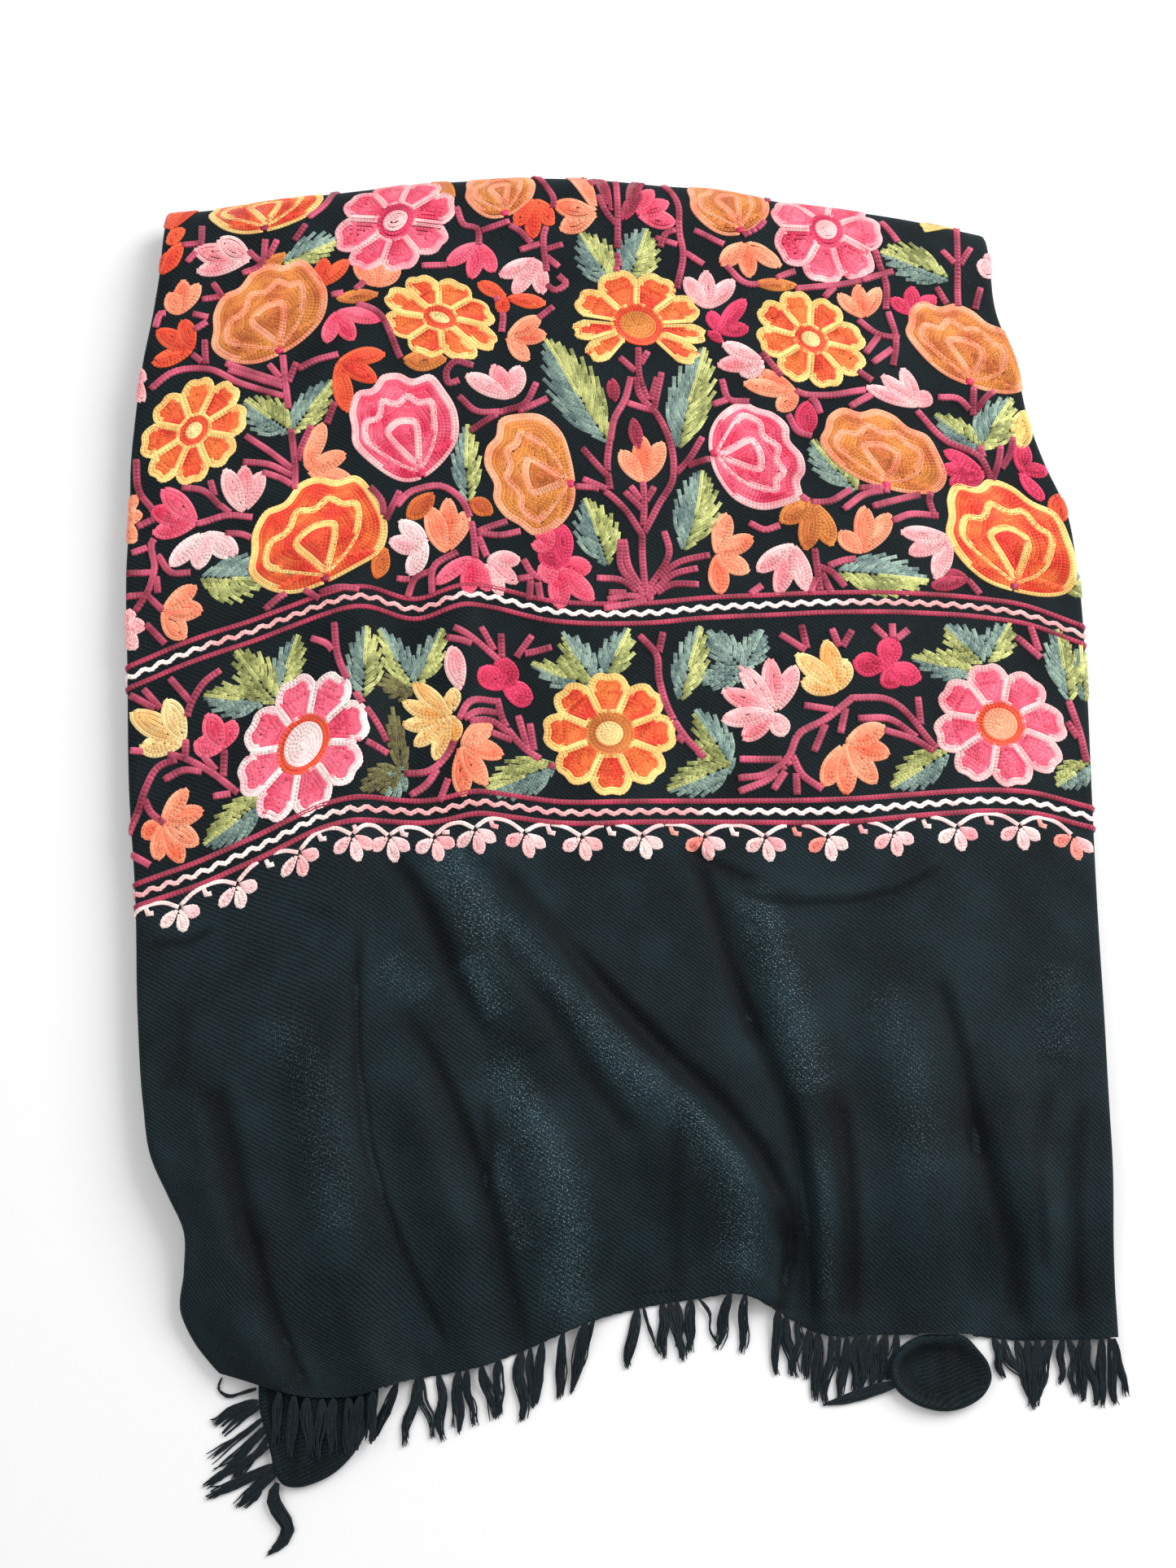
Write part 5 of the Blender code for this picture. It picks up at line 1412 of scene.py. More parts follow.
# %% Sew the stems
STEMS = [
    # across and along of each point of a stem, in millimetres
    (93, 423, 94, 439, 92, 458, 84, 505), (67, 462, 80, 450, 92, 437), (66, 448, 79, 443, 92, 433),
    (75, 440, 87, 432, 94, 425), (103, 459, 98, 448, 94, 435), (116, 470, 112, 459),
    (10, 502, 19, 508, 40, 507, 61, 494, 88, 480), (52, 507, 86, 489), (54, 503, 87, 486),
    (77, 501, 87, 488), (92, 499, 88, 487), (90, 494, 104, 499, 116, 500), (37, 523, 40, 508),
    (32, 516, 40, 509), (30, 531, 36, 534), (32, 548, 41, 548), (37, 556, 43, 548), (28, 540, 36, 537),
    (6, 536, 8, 543, 10, 543), (54, 560, 64, 563, 66, 576), (52, 576, 63, 566), (73, 575, 68, 567),
    (19, 571, 26, 578, 26, 588), (16, 579, 24, 579), (92, 585, 100, 591, 107, 612), (90, 581, 84, 574),
    (164, 551, 180, 550), (110, 538, 124, 540, 130, 545), (124, 531, 137, 525, 153, 497),
    (195, 488, 184, 490, 180, 485, 182, 478, 187, 479), (188, 469, 197, 461, 212, 462),
    (232, 480, 226, 469, 212, 462, 194, 449), (222, 464, 238, 472), (210, 529, 214, 519, 213, 509),
    (244, 524, 236, 518), (184, 582, 188, 574, 197, 571, 198, 562), (216, 574, 198, 570),
    (228, 621, 240, 593, 244, 586, 238, 566, 240, 545), (249, 561, 240, 558), (224, 558, 235, 561),
    (247, 548, 239, 554), (210, 574, 222, 570, 230, 562), (238, 539, 246, 534, 252, 538, 248, 542),
    (283, 602, 284, 579, 283, 545), (272, 588, 278, 578, 283, 574), (262, 611, 269, 597),
    (140, 397, 140, 410, 132, 420), (150, 418, 140, 397),
    (143, 402, 158, 420, 172, 420, 183, 410, 188, 395, 190, 375), (190, 389, 202, 389, 214, 394),
    (192, 390, 207, 398), (192, 386, 196, 376), (166, 360, 168, 375, 180, 379),
    (153, 360, 158, 371, 167, 373), (148, 369, 162, 371), (216, 378, 220, 372, 225, 370),
    (218, 357, 219, 367), (224, 358, 223, 367), (213, 367, 220, 370), (56, 411, 64, 408, 73, 401),
    (77, 362, 86, 366, 93, 367, 106, 357), (127, 357, 114, 360, 103, 359),
    (8, 430, 16, 431, 40, 421, 56, 421, 69, 416), (8, 386, 15, 394, 18, 404, 17, 420, 23, 421),
    (4, 407, 16, 403), (6, 417, 17, 417), (20, 410, 28, 398, 37, 395), (20, 391, 19, 401),
    (4, 395, 14, 392), (14, 392, 22, 381), (6, 465, 8, 448, 15, 437), (32, 443, 43, 438, 52, 427),
    (47, 442, 50, 431, 58, 421), (14, 376, 23, 363), (256, 445, 266, 431), (253, 428, 264, 423),
    (272, 451, 268, 437, 266, 423), (272, 450, 276, 462, 283, 473, 287, 485),
    (246, 424, 262, 422, 270, 414, 280, 397), (285, 471, 298, 467), (268, 394, 268, 379, 278, 365),
    (255, 373, 267, 372, 278, 363), (258, 356, 280, 360), (260, 361, 270, 363, 279, 362),
    (274, 421, 281, 412), (293, 502, 292, 487, 296, 473), (282, 496, 291, 488), (298, 500, 290, 489),
    (290, 489, 292, 475, 300, 466, 306, 444, 303, 429, 290, 413, 280, 397), (305, 488, 299, 466),
    (302, 485, 298, 473), (324, 450, 314, 438, 304, 430), (325, 438, 312, 434, 303, 428),
    (285, 426, 280, 397, 280, 359), (278, 424, 282, 415), (290, 423, 283, 415),
    (292, 398, 294, 388, 282, 367), (270, 394, 272, 379, 278, 367), (261, 365, 272, 364, 278, 360),
    (315, 383, 298, 380, 281, 365), (308, 376, 296, 374, 282, 363), (308, 367, 294, 368, 281, 361),
    (283, 603, 284, 544), (313, 604, 322, 585, 322, 574, 324, 562, 320, 539), (332, 574, 349, 569),
    (321, 574, 313, 571, 310, 564), (324, 562, 336, 555), (308, 569, 320, 566),
    (379, 617, 372, 581, 362, 575), (351, 555, 360, 547, 392, 559), (393, 548, 422, 555, 452, 568),
    (410, 545, 417, 553), (442, 579, 448, 556, 446, 542), (448, 595, 458, 582), (496, 616, 490, 553),
    (484, 583, 492, 577), (501, 588, 494, 578), (479, 562, 484, 551), (505, 568, 500, 554),
    (428, 531, 436, 523, 448, 522), (447, 539, 447, 526, 440, 503), (426, 509, 436, 521),
    (429, 503, 441, 513), (366, 503, 374, 491, 384, 480, 399, 479, 421, 484), (416, 498, 426, 491),
    (412, 473, 424, 481), (340, 484, 343, 473, 354, 472), (334, 470, 343, 473),
    (394, 468, 392, 475, 384, 479), (376, 465, 380, 455, 386, 453),
    (450, 475, 462, 458, 477, 451, 478, 436), (485, 499, 481, 476, 478, 436),
    (464, 487, 475, 488, 482, 479), (508, 508, 494, 497, 482, 480), (492, 465, 486, 450, 478, 436),
    (503, 479, 494, 458, 480, 438), (368, 419, 372, 413, 382, 412, 399, 420, 415, 422),
    (391, 408, 404, 417, 418, 421), (407, 410, 434, 420), (448, 429, 439, 418, 439, 408),
    (416, 402, 426, 407, 441, 408), (339, 400, 346, 396, 354, 398), (372, 383, 373, 360),
    (368, 359, 373, 370), (379, 358, 374, 371), (386, 362, 380, 370, 372, 374),
    (379, 374, 388, 377, 395, 378), (336, 360, 342, 364), (453, 369, 458, 362),
    (52, 338, 44, 335, 37, 327, 33, 301), (26, 343, 36, 328), (12, 343, 20, 331), (5, 343, 17, 332),
    (5, 315, 32, 301, 47, 288, 60, 273), (32, 301, 18, 301, 11, 292, 7, 283, 1, 274),
    (22, 294, 31, 295, 43, 290), (42, 299, 50, 287), (54, 296, 53, 284), (48, 276, 60, 273),
    (10, 291, 14, 280, 20, 273), (2, 263, 11, 255), (114, 340, 115, 324, 126, 298, 136, 284, 147, 261),
    (102, 336, 110, 330, 114, 323), (130, 275, 140, 271), (150, 262, 164, 264, 173, 271, 178, 281),
    (152, 251, 161, 257, 166, 263), (167, 247, 172, 257), (178, 285, 184, 294, 198, 296),
    (182, 286, 188, 289, 200, 290), (185, 284, 196, 285, 204, 281),
    (199, 297, 202, 286, 210, 276, 228, 266), (210, 290, 215, 272), (216, 287, 218, 272),
    (196, 279, 210, 276), (178, 336, 200, 319), (174, 332, 186, 326), (192, 335, 198, 324),
    (218, 336, 210, 323), (228, 332, 213, 325), (202, 333, 202, 319), (276, 340, 282, 333),
    (276, 339, 284, 330, 285, 316, 290, 297, 300, 280, 314, 267), (288, 341, 285, 329),
    (294, 283, 312, 268), (326, 260, 341, 262, 352, 270, 358, 282, 372, 289, 387, 300),
    (362, 297, 376, 294), (366, 273, 372, 286), (380, 282, 384, 298), (387, 300, 404, 299, 432, 270),
    (390, 289, 406, 288, 420, 278), (404, 282, 420, 276, 429, 270), (411, 296, 420, 283),
    (422, 299, 423, 281), (354, 272, 359, 261, 369, 253), (326, 253, 341, 259, 353, 268),
    (327, 270, 352, 269), (344, 254, 351, 264), (356, 251, 356, 265), (351, 336, 363, 327),
    (362, 340, 364, 328), (378, 337, 381, 328), (388, 336, 383, 328), (406, 333, 400, 339),
    (410, 333, 410, 340), (412, 332, 418, 337), (475, 339, 488, 329), (484, 346, 488, 331),
    (502, 307, 507, 290, 510, 272), (501, 294, 509, 282),
]

for line in STEMS:
    sew("stems", curve_through(np.reshape(line, (-1, 2))), "stem", 0.45, width=3.2, spread=0.45)
print("stems:", len(STEMS))

# %% [markdown]
# ## The two borders
#
# Each border is two wine-red lines with a wavy line between them that goes from pink
# to white and back. Under the lower one hangs a row of small three-petalled pendants
# on curved stalks.

# %% Sew the border lines
LOWER_MM = LOWER_BORDER_AT * 1000


def border_lines(piece, middle, white_spans):
    """The three lines of a border, and where its wavy line is white."""
    a = np.arange(-SEWN_BEYOND, FLAT_MM + SEWN_BEYOND, 1.0)
    sway = 0.35 * np.sin(a * 0.045)
    for offset in (-5.6, 5.6):
        sew(piece, np.stack([a, middle + offset + sway], axis=1), "wine", 0.45, width=2.3, free=True)
    white = sum(ease((a - start) / 25.0) * ease((end - a) / 25.0) for start, end in white_spans)
    wave = np.stack([a, middle + 0.85 * np.sin(a * 2 * math.pi / 9.0) + sway], axis=1)
    sew(piece, wave, "line pink", 0.95 - 0.95 * white, width=2.1, free=True, spread=0.2)


border_lines("borders", UPPER_BORDER_AT * 1000, [(-30, 55), (170, 400)])
border_lines("borders", LOWER_MM, [(15, 130), (290, 540)])
print("border stitches:", len(sewn["borders"]))

# %% Hang the pendants
PENDANTS = [
    # place along the line, then the yarns of its left, middle and right petal
    (26, "white", "white", "pale"), (57, "pale", "white", "pale"), (91, "white", "blush", "blush"),
    (120, "pale", "pale", "blush"), (139, "blush", "pale", "pale"), (163, "pale", "blush", "blush"),
    (185, "pale", "blush", "pale"), (211, "blush", "blush", "pale"), (241, "pale", "blush", "blush"),
    (273, "white", "white", "white"), (306, "coral", "blush", "pale"), (338, "white", "white", "blush"),
    (371, "coral", "pale", "white"), (406, "blush", "blush", "pale"), (440, "white", "pale", "blush"),
    (473, "blush", "pale", "white"), (501, "coral", "coral", "blush"),
]


def sew_pendant(piece, place, previous, dyes):
    """Three petals under the border, the stalk that comes over from the last ones, and a curl."""
    line = LOWER_MM - 9.6
    top = np.array([place, line - 3.0])
    for lean, dye, tone in zip((-0.94, 0.18, 1.02), dyes, (0.5, 0.25, 0.4)):
        tip = top + (13.2 - 0.9 * abs(lean)) * np.array([math.sin(lean), -math.cos(lean)])
        sew_petal(piece, top, tip, 2.6, dye, tone, blunt=0.65, fullest=1.7, row=1.7)
    rise = [(previous + 1, line - 2.0), (previous + 7, line + 1.4)]
    stalk = rise + [(place - 8, line + 1.4), (place - 1, line - 2.6)]
    sew(piece, curve_through(stalk), "line pink", 0.3, width=1.9)
    curl = [(place - 17.6, line + 0.8), (place - 16.4, line - 1.6), (place - 14.4, line - 1.9)]
    sew(piece, curve_through(curl), dyes[0], 0.3, width=2.1)


previous = -4
for place, *dyes in PENDANTS:
    sew_pendant("borders", place, previous, dyes)
    previous = place
print("pendants:", len(PENDANTS))

# %% [markdown]
# ## From the plan to the cloth
#
# Each planned stitch now gets its place on the folded cloth. The points just ahead of
# it and behind it give its way forward, the cloth under it its way up, and those two
# give its turn.

# %% Sew every piece
STITCH_SINK = 0.00012  # how deep a stitch is pressed into the cloth
STEP_BESIDE = 0.0006  # how far ahead and behind its way is measured
LEAF_HEIGHT = 0.72  # leaves lie lower than flowers


def stitch_plan(rows_of_stitches):
    """A mesh of bare points with a turn, a size and a colour for each stitch."""
    table = np.array(rows_of_stitches)
    a, b = table[:, 0] / 1000, table[:, 1] / 1000
    way = unit(table[:, 2:4])
    reach = way * STEP_BESIDE
    sunk = np.full(len(a), STITCH_SINK)
    here = front_point(a, b, sunk)
    _, normal = front_frames(a, b)
    ahead = front_point(a + reach[:, 0], b + reach[:, 1], sunk)
    behind = front_point(a - reach[:, 0], b - reach[:, 1], sunk)
    forward = ahead - behind
    forward = unit(forward - normal * np.sum(forward * normal, axis=1, keepdims=True))
    leftward = np.cross(normal, forward)
    turns = [Matrix(np.stack(axes, axis=1).tolist()).to_euler() for axes in zip(forward, leftward, normal)]
    height = STITCH_HEIGHT * table[:, 5] / ROW_WIDTH
    sizes = np.stack([table[:, 4] * REACH, table[:, 5] * PLUMP, height], axis=1) / 1000
    colours = np.concatenate([table[:, 6:9], np.ones((len(table), 1))], axis=1)
    mesh = new_mesh("plan", here)
    set_attribute(mesh, "turn", "FLOAT_VECTOR", [tuple(t) for t in turns])
    set_attribute(mesh, "size", "FLOAT_VECTOR", sizes)
    set_attribute(mesh, "tint", "FLOAT_COLOR", np.clip(colours, 0.0, 1.0))
    return mesh


embroidery = []
for name, plan in sewn.items():
    height = LEAF_HEIGHT if name == "leaves" else 1.0
    piece = grown(name, stitch_plan(plan), sewing, Stitch=one_stitch, Height=height)
    embroidery.append(piece)
    print(name, len(plan), "stitches,", len(piece.data.polygons), "faces")
print("stitches in all:", sum(len(plan) for plan in sewn.values()))

# %% [markdown]
# ## The layers underneath
#
# Two thirds of the shawl lie folded under the front cloth, and show only as a stack
# of rounded folds along the sides. The stack is drawn as cross-sections, from the
# floor up over four folded edges, across the top and down again, each a little
# different from the last, so that no fold runs dead straight.

# %% Build the folded stack
STACK_START = 0.03  # along the cloth, where the stack begins
STACK_SECTIONS = 90
STACK_DROP = 0.0026  # more room between it and the front cloth, away from the top fold
STACK_CLEAR = 0.0017  # room between them everywhere, besides the thickness of the cloth
STACK_SHOULDER = 0.0062  # how far in from the sides its top starts
FOLDS_AT_SIDE = 4
TOP_COLUMNS = 30
FOOT_CLEAR = 0.0006  # nothing of its top lies lower than this


def side_profile(along, right_side):
    """Insets and heights up the folded edges at one side."""
    top = float(lower_stack(np.array(along))) - 0.0007
    phase = 1.3 if right_side else 0.0
    points = []
    for k in range(FOLDS_AT_SIDE):
        wander = math.sin(along * (17 + 5 * k) + phase + 2.1 * k)
        inset = 0.003 + 0.0017 * wander + (0.0012 if right_side else 0.0)
        for share in np.linspace(0.0, 1.0, 7)[:-1]:
            bulge = min(0.0016, top / FOLDS_AT_SIDE / 2 + 0.0002)
            round_in = bulge * (1.0 - math.sqrt(max(1.0 - (2 * share - 1) ** 2, 0.0)))
            points.append((inset + round_in, (k + share) / FOLDS_AT_SIDE * top))
    points.append((STACK_SHOULDER - 0.0008, top))
    return points


def stack_top_points(along, turn):
    """A row across the stack's top, carried some way round the top fold."""
    shoulder = (STACK_SHOULDER - TURN_RADIUS) / (FLAT_WIDTH - 2 * TURN_RADIUS)
    across = np.linspace(shoulder, 1.0 - shoulder, TOP_COLUMNS)
    x, y = plan_position(across, np.full(TOP_COLUMNS, along))
    shrink = WALL + STACK_CLEAR
    drop = STACK_DROP * ease((0.52 - along) / 0.1) + shrink
    z = np.maximum(plain_height(across, np.full(TOP_COLUMNS, along)) - drop, FOOT_CLEAR)
    beyond = (TOP_ROLL - shrink) * math.sin(turn)
    if turn > math.pi / 2:
        beyond = TOP_ROLL - shrink + (LOWER_ROLL - shrink) * (math.sin(turn) - 1.0)
    middle = (z + shrink) / 2
    return np.stack([x, y + beyond, middle + (middle - shrink) * math.cos(turn)], axis=1)


def stack_section(along):
    """One closed cross-section of the stack, from its left foot over the top to its right foot."""
    x, y = plan_position(np.array([0.0, 1.0]), np.full(2, along))
    sides = []
    for k, toward in enumerate((1.0, -1.0)):
        edge = x[k] - toward * TURN_RADIUS
        sides.append([(edge + toward * inset, y[k], z) for inset, z in side_profile(along, k == 1)])
    return np.array(sides[0] + [tuple(p) for p in stack_top_points(along, 0.0)] + sides[1][::-1])


def loft(sections):
    """Faces between rows of points, each row closed on itself, with both ends closed."""
    count = len(sections[0])
    faces = []
    for k in range(len(sections) - 1):
        for j in range(count):
            a, b = k * count + j, k * count + (j + 1) % count
            faces.append((a, b, b + count, a + count))
    faces.append(tuple(range(count))[::-1])
    faces.append(tuple(range((len(sections) - 1) * count, len(sections) * count)))
    return faces


body = [stack_section(b) for b in np.linspace(STACK_START, ROLL_START, STACK_SECTIONS)]
turns = np.radians(np.linspace(0.0, 180.0, 19))
end_rows = [stack_top_points(ROLL_START, turn) for turn in turns]
end_rows.append(end_rows[-1] * [1, 1, 0] - [0, STACK_CLEAR, 0])
end_rows.append(stack_top_points(ROLL_START, 0.0) * [1, 1, 0])


def closed_piece(name, sections, finish, turn=0.0):
    """A lofted piece, with its plan turned by an angle as the flat map that the twill follows."""
    points = np.concatenate(sections) - ORIGIN
    piece = add_piece(name, points, loft(sections), finish)
    recalculate(piece.data)
    c, s = math.cos(turn), math.sin(turn)
    flat = np.stack([points[:, 0] * c + points[:, 1] * s, points[:, 1] * c - points[:, 0] * s], axis=1)
    set_flat_map(piece, flat + points[:, 2:] * [0.0, 1.0])
    return piece


folded_layers = closed_piece("folded_layers_cloth", body, black_twill)
across_rows = [np.array(column) for column in zip(*end_rows)]
folded_end = closed_piece("folded_end_cloth", across_rows, black_twill)
print("stack:", len(body), "sections, and", len(end_rows), "rows round its end")

# %% [markdown]
# ## Two corners that show below the hem
#
# At the lower left a fold of the layer below peeps out as a rounded lobe, and at the
# right its corner has rolled into a small cup. Both are drawn from their outline:
# rings that step up and in, with soft creases across, closed below. Shade is painted
# into the creases and the hollow, and shadow is painted along their tops.

# %% Round the two corners
LOBE_OUTLINE = [
    # x, y
    (-0.1, -0.281), (-0.1003, -0.296), (-0.102, -0.312), (-0.1066, -0.3205), (-0.113, -0.33),
    (-0.1205, -0.3368), (-0.129, -0.341), (-0.1374, -0.343), (-0.144, -0.342), (-0.148, -0.3376),
    (-0.1505, -0.3292), (-0.1535, -0.3193), (-0.157, -0.3083), (-0.158, -0.295), (-0.156, -0.281),
    (-0.128, -0.279),
]
CUP_OUTLINE = [
    # x, y
    (0.15, -0.28), (0.16, -0.2742), (0.1715, -0.2735), (0.182, -0.2743), (0.1882, -0.2805),
    (0.1925, -0.2865), (0.1938, -0.2935), (0.1902, -0.3008), (0.1833, -0.3058), (0.1727, -0.3088),
    (0.1624, -0.3077), (0.1548, -0.3045), (0.148, -0.299), (0.145, -0.2925), (0.1458, -0.2855),
]
RING_POINTS = 150
RINGS_INWARD = 24
CORNER_TWILL = math.radians(62)  # how far the twill is turned in the two corners
LOBE_CREASES = [
    # x at the top, x at the foot, half width, depth: the lobe's soft upright folds, with shade painted
    # into them as deep as they are
    (-0.152, -0.15, 0.005, 0.0016),
    (-0.1385, -0.14, 0.0034, 0.0011),
    (-0.1235, -0.129, 0.004, 0.0009),
    (-0.109, -0.119, 0.0045, 0.001),
]


def ring_piece(name, outline, profile, centre, inner_shape, finish):
    """Rings from the floor up a rounded edge, then inwards to a centre.

    Inside, one function gives the height and the painted light and shade.
    """
    line = loop_through(outline, RING_POINTS)
    inward = inward_of(line, 1)
    rings = [np.column_stack([line + inward * inset, np.full(RING_POINTS, z)]) for inset, z in profile]
    last = rings[-1]
    # the rings up the rounded edge are painted a little darker
    tones = [np.full(RING_POINTS, 0.25) for _ in rings]
    hub = np.array([*centre, 0.0])
    for share in np.linspace(0.0, 1.0, RINGS_INWARD)[1:-1]:
        ring = last * (1 - share) + hub * share
        rise, tone = inner_shape(ring[:, 0], ring[:, 1], share)
        ring[:, 2] = last[:, 2] + rise
        rings.append(ring)
        tones.append(tone)
    piece = closed_piece(name, rings, finish, turn=CORNER_TWILL)
    set_painted_light_and_shade(piece, np.concatenate(tones))
    return piece


def lobe_shape(x, y, share):
    """Soft upright folds with shade painted into them, and a painted shadow at the top where the front
    cloth lies over the lobe.
    """
    down = np.clip((-0.279 - y) / 0.064, 0.0, 1.0)
    # the whole lobe is painted somewhat darker
    rise, tone = np.full(x.shape, 0.0006), np.full(x.shape, 0.42)
    for top, foot, half_width, depth in LOBE_CREASES:
        near = np.exp(-(((x - top - (foot - top) * down) / half_width) ** 2))
        rise -= depth * near
        # painted shade in each crease
        tone += near * depth / 0.0018
    # painted shadow under the front cloth's hem
    tone += 0.35 * np.exp(-((down / 0.22) ** 2))
    return rise * ease(share / 0.25), np.clip(tone, -0.4, 0.95)


def cup_shape(x, y, share):
    """A hollow under the rim, deepest at its left, with shade painted into it, darkest in a crescent at
    its left, and a painted shadow along its top.
    """
    left = np.clip((0.176 - x) / 0.02, 0.0, 1.0)
    rise = -0.0036 * ease(share / 0.35) * (0.45 + 0.55 * left) + 0.0002 * np.sin(x * 700)
    # painted shade over the hollow, darkest in a crescent inside the rim at its left
    tone = 0.5 + 0.9 * left * np.exp(-(((share - 0.24) / 0.17) ** 2))
    # painted shadow along the cup's top
    tone += 0.9 * ease((y + 0.288) / 0.01)
    return rise, np.clip(tone, 0.0, 0.95)


LOBE_PROFILE = [
    # how far in, how high
    (0.0018, 0.0), (0.0006, 0.0005), (0.0001, 0.0015), (0.0, 0.0026), (0.0006, 0.004), (0.002, 0.0049),
    (0.0036, 0.0052),
]
CUP_PROFILE = [
    # how far in, how high
    (0.0016, 0.0), (0.0005, 0.0007), (0.0, 0.0022), (0.0002, 0.0042), (0.001, 0.0056), (0.002, 0.0058),
    (0.0032, 0.005),
]
LOBE_CENTRE = (-0.129, -0.308)
CUP_CENTRE = (0.168, -0.292)
lobe = (LOBE_OUTLINE, LOBE_PROFILE, LOBE_CENTRE, lobe_shape)
cup = (CUP_OUTLINE, CUP_PROFILE, CUP_CENTRE, cup_shape)
corner_lobe = ring_piece("corner_lobe_cloth", *lobe, black_twill)
rolled_corner = ring_piece("rolled_corner_cloth", *cup, black_twill)
print("corners:", len(corner_lobe.data.vertices), "and", len(rolled_corner.data.vertices), "points")

# %% [markdown]
# ## Fringe
#
# The cloth's own yarns run on past the hem, gathered into locks. A lock is narrow
# where it leaves the cloth, swells, and ends in a loose point. Each yarn is planned
# as a line of points with a thickness, and Geometry Nodes sweep a thin round section
# along all of them at once.

# %% Build the spinning tree
def spinning_tree(finish):
    """A tree that sweeps a thin round section along every line of a plan."""
    tree, given = new_tree("spin yarns", Sides="Int")
    section = {"Radius": 1.0, "Resolution": given["Sides"]}
    sockets = {
        "Curve": new_node(tree, "GeometryNodeMeshToCurve", "Curve", {"Mesh": given["Geometry"]}),
        "Profile Curve": new_node(tree, "GeometryNodeCurvePrimitiveCircle", "Curve", section),
        "Scale": planned(tree, "thick", "FLOAT"),
        "Fill Caps": True,
    }
    return close_tree(tree, new_node(tree, "GeometryNodeCurveToMesh", "Mesh", sockets), finish)


FRINGE_DARK = (0.0025, 0.006, 0.0085)
FRINGE_LIGHT = (0.009, 0.019, 0.026)


def plain_yarn_material(name, colour, light):
    """Yarn of one colour, a little lighter here and there."""
    made, shader = node_material(name, colour, 0.62)
    tree = made.node_tree
    fibre = noise(tree, new_node(tree, "ShaderNodeTexCoord", "Object"), 700.0)
    finish = {
        "Base Color": ramp(tree, fibre, (0.35, colour), (0.75, light)),
        "Sheen Weight": 0.08,
        "Specular IOR Level": 0.25,
        "Sheen Tint": (0.4, 0.6, 0.75, 1.0),
    }
    set_sockets(tree, shader, finish)
    return made


fringe_yarn = plain_yarn_material("blue black fringe yarn", FRINGE_DARK, FRINGE_LIGHT)
spinning = spinning_tree(fringe_yarn)
print("spinning tree:", len(spinning.nodes), "nodes")

# %% Plan the locks of the hem
HEM_GAP = 0.0006  # from the cloth's edge to where the locks start
TIP_Z = 0.0006  # how high the tips lie
YARN_RADIUS = 0.00042
HEM_LOCKS = [
    # x of the root, length, lean to the right, half width of the belly, yarns, lengths in millimetres
    (-147, 24, -0.1, 2.6, 16), (-140, 28, -0.04, 2.8, 18), (-134, 26, 0.06, 2.8, 18),
    (-127, 28, 0.0, 2.8, 18), (-121, 26, -0.06, 2.6, 18), (-114, 27, 0.04, 2.8, 18),
    (-108, 25, -0.1, 2.6, 18), (-102, 24, -0.04, 2.4, 16), (-91, 30, -0.42, 2.6, 20),
    (-82, 32, -0.16, 2.2, 16), (-80, 29, 0.2, 2.4, 9), (-72, 31, 0.1, 2.6, 18), (-62, 29, 0.0, 2.9, 22),
    (-58, 27, 0.1, 2.2, 16), (-51, 26, 0.28, 2.8, 18), (-43, 26, 0.02, 3.0, 22), (-32, 33, 0.0, 2.8, 24),
    (-28, 28, 0.04, 2.0, 14), (-22, 31, -0.14, 2.6, 20), (-12, 31, -0.06, 2.8, 22),
    (-1, 34, -0.22, 3.2, 26), (3, 28, -0.34, 1.8, 12), (24, 29, -0.2, 2.6, 18), (27, 22, 0.3, 1.0, 4),
    (36, 26, 0.04, 2.6, 20), (40, 29, 0.2, 2.8, 22), (43, 24, 0.06, 2.2, 14), (50, 25, -0.06, 2.8, 18),
    (54, 24, 0.45, 1.0, 4), (69, 27, -0.26, 2.6, 18), (76, 28, -0.08, 2.4, 16), (92, 30, -0.06, 3.0, 24),
    (96, 28, 0.06, 2.8, 22), (101, 26, -0.02, 2.6, 20), (107, 24, -0.08, 2.6, 18),
    (111, 32, -0.06, 2.6, 20), (117, 32, -0.08, 2.8, 22), (121, 26, 0.0, 2.0, 12),
    (125, 31, -0.14, 2.6, 20), (130, 27, -0.1, 2.8, 20), (134, 26, -0.12, 2.8, 20),
    (139, 26, -0.16, 2.8, 20), (144, 24, -0.2, 2.8, 20), (149, 22, -0.24, 2.6, 18),
    (196, 20, 0.24, 2.4, 16), (201, 25, 0.36, 2.8, 20), (207, 29, 0.22, 3.0, 24),
    (212, 32, 0.06, 3.2, 26), (217, 31, -0.1, 3.0, 24), (223, 28, -0.28, 2.8, 20),
    (229, 21, -0.1, 2.4, 14), (232, 26, 0.1, 2.2, 12), (238, 29, -0.02, 3.0, 22),
    (241, 31, 0.06, 2.8, 22), (247, 32, -0.02, 2.8, 22), (251, 31, 0.06, 2.4, 18),
    (253, 28, 0.22, 2.0, 12),
]
HEM_PARTS = {
    # piece: x from, x to, and where the hem's edge starts and ends across the cloth
    "hem_fringe_left": (-100, 90, 0.17, 0.61),
    "hem_fringe_middle": (90, 160, 0.61, 0.79),
    "hem_fringe_right": (160, 260, 0.85, 0.997),
}
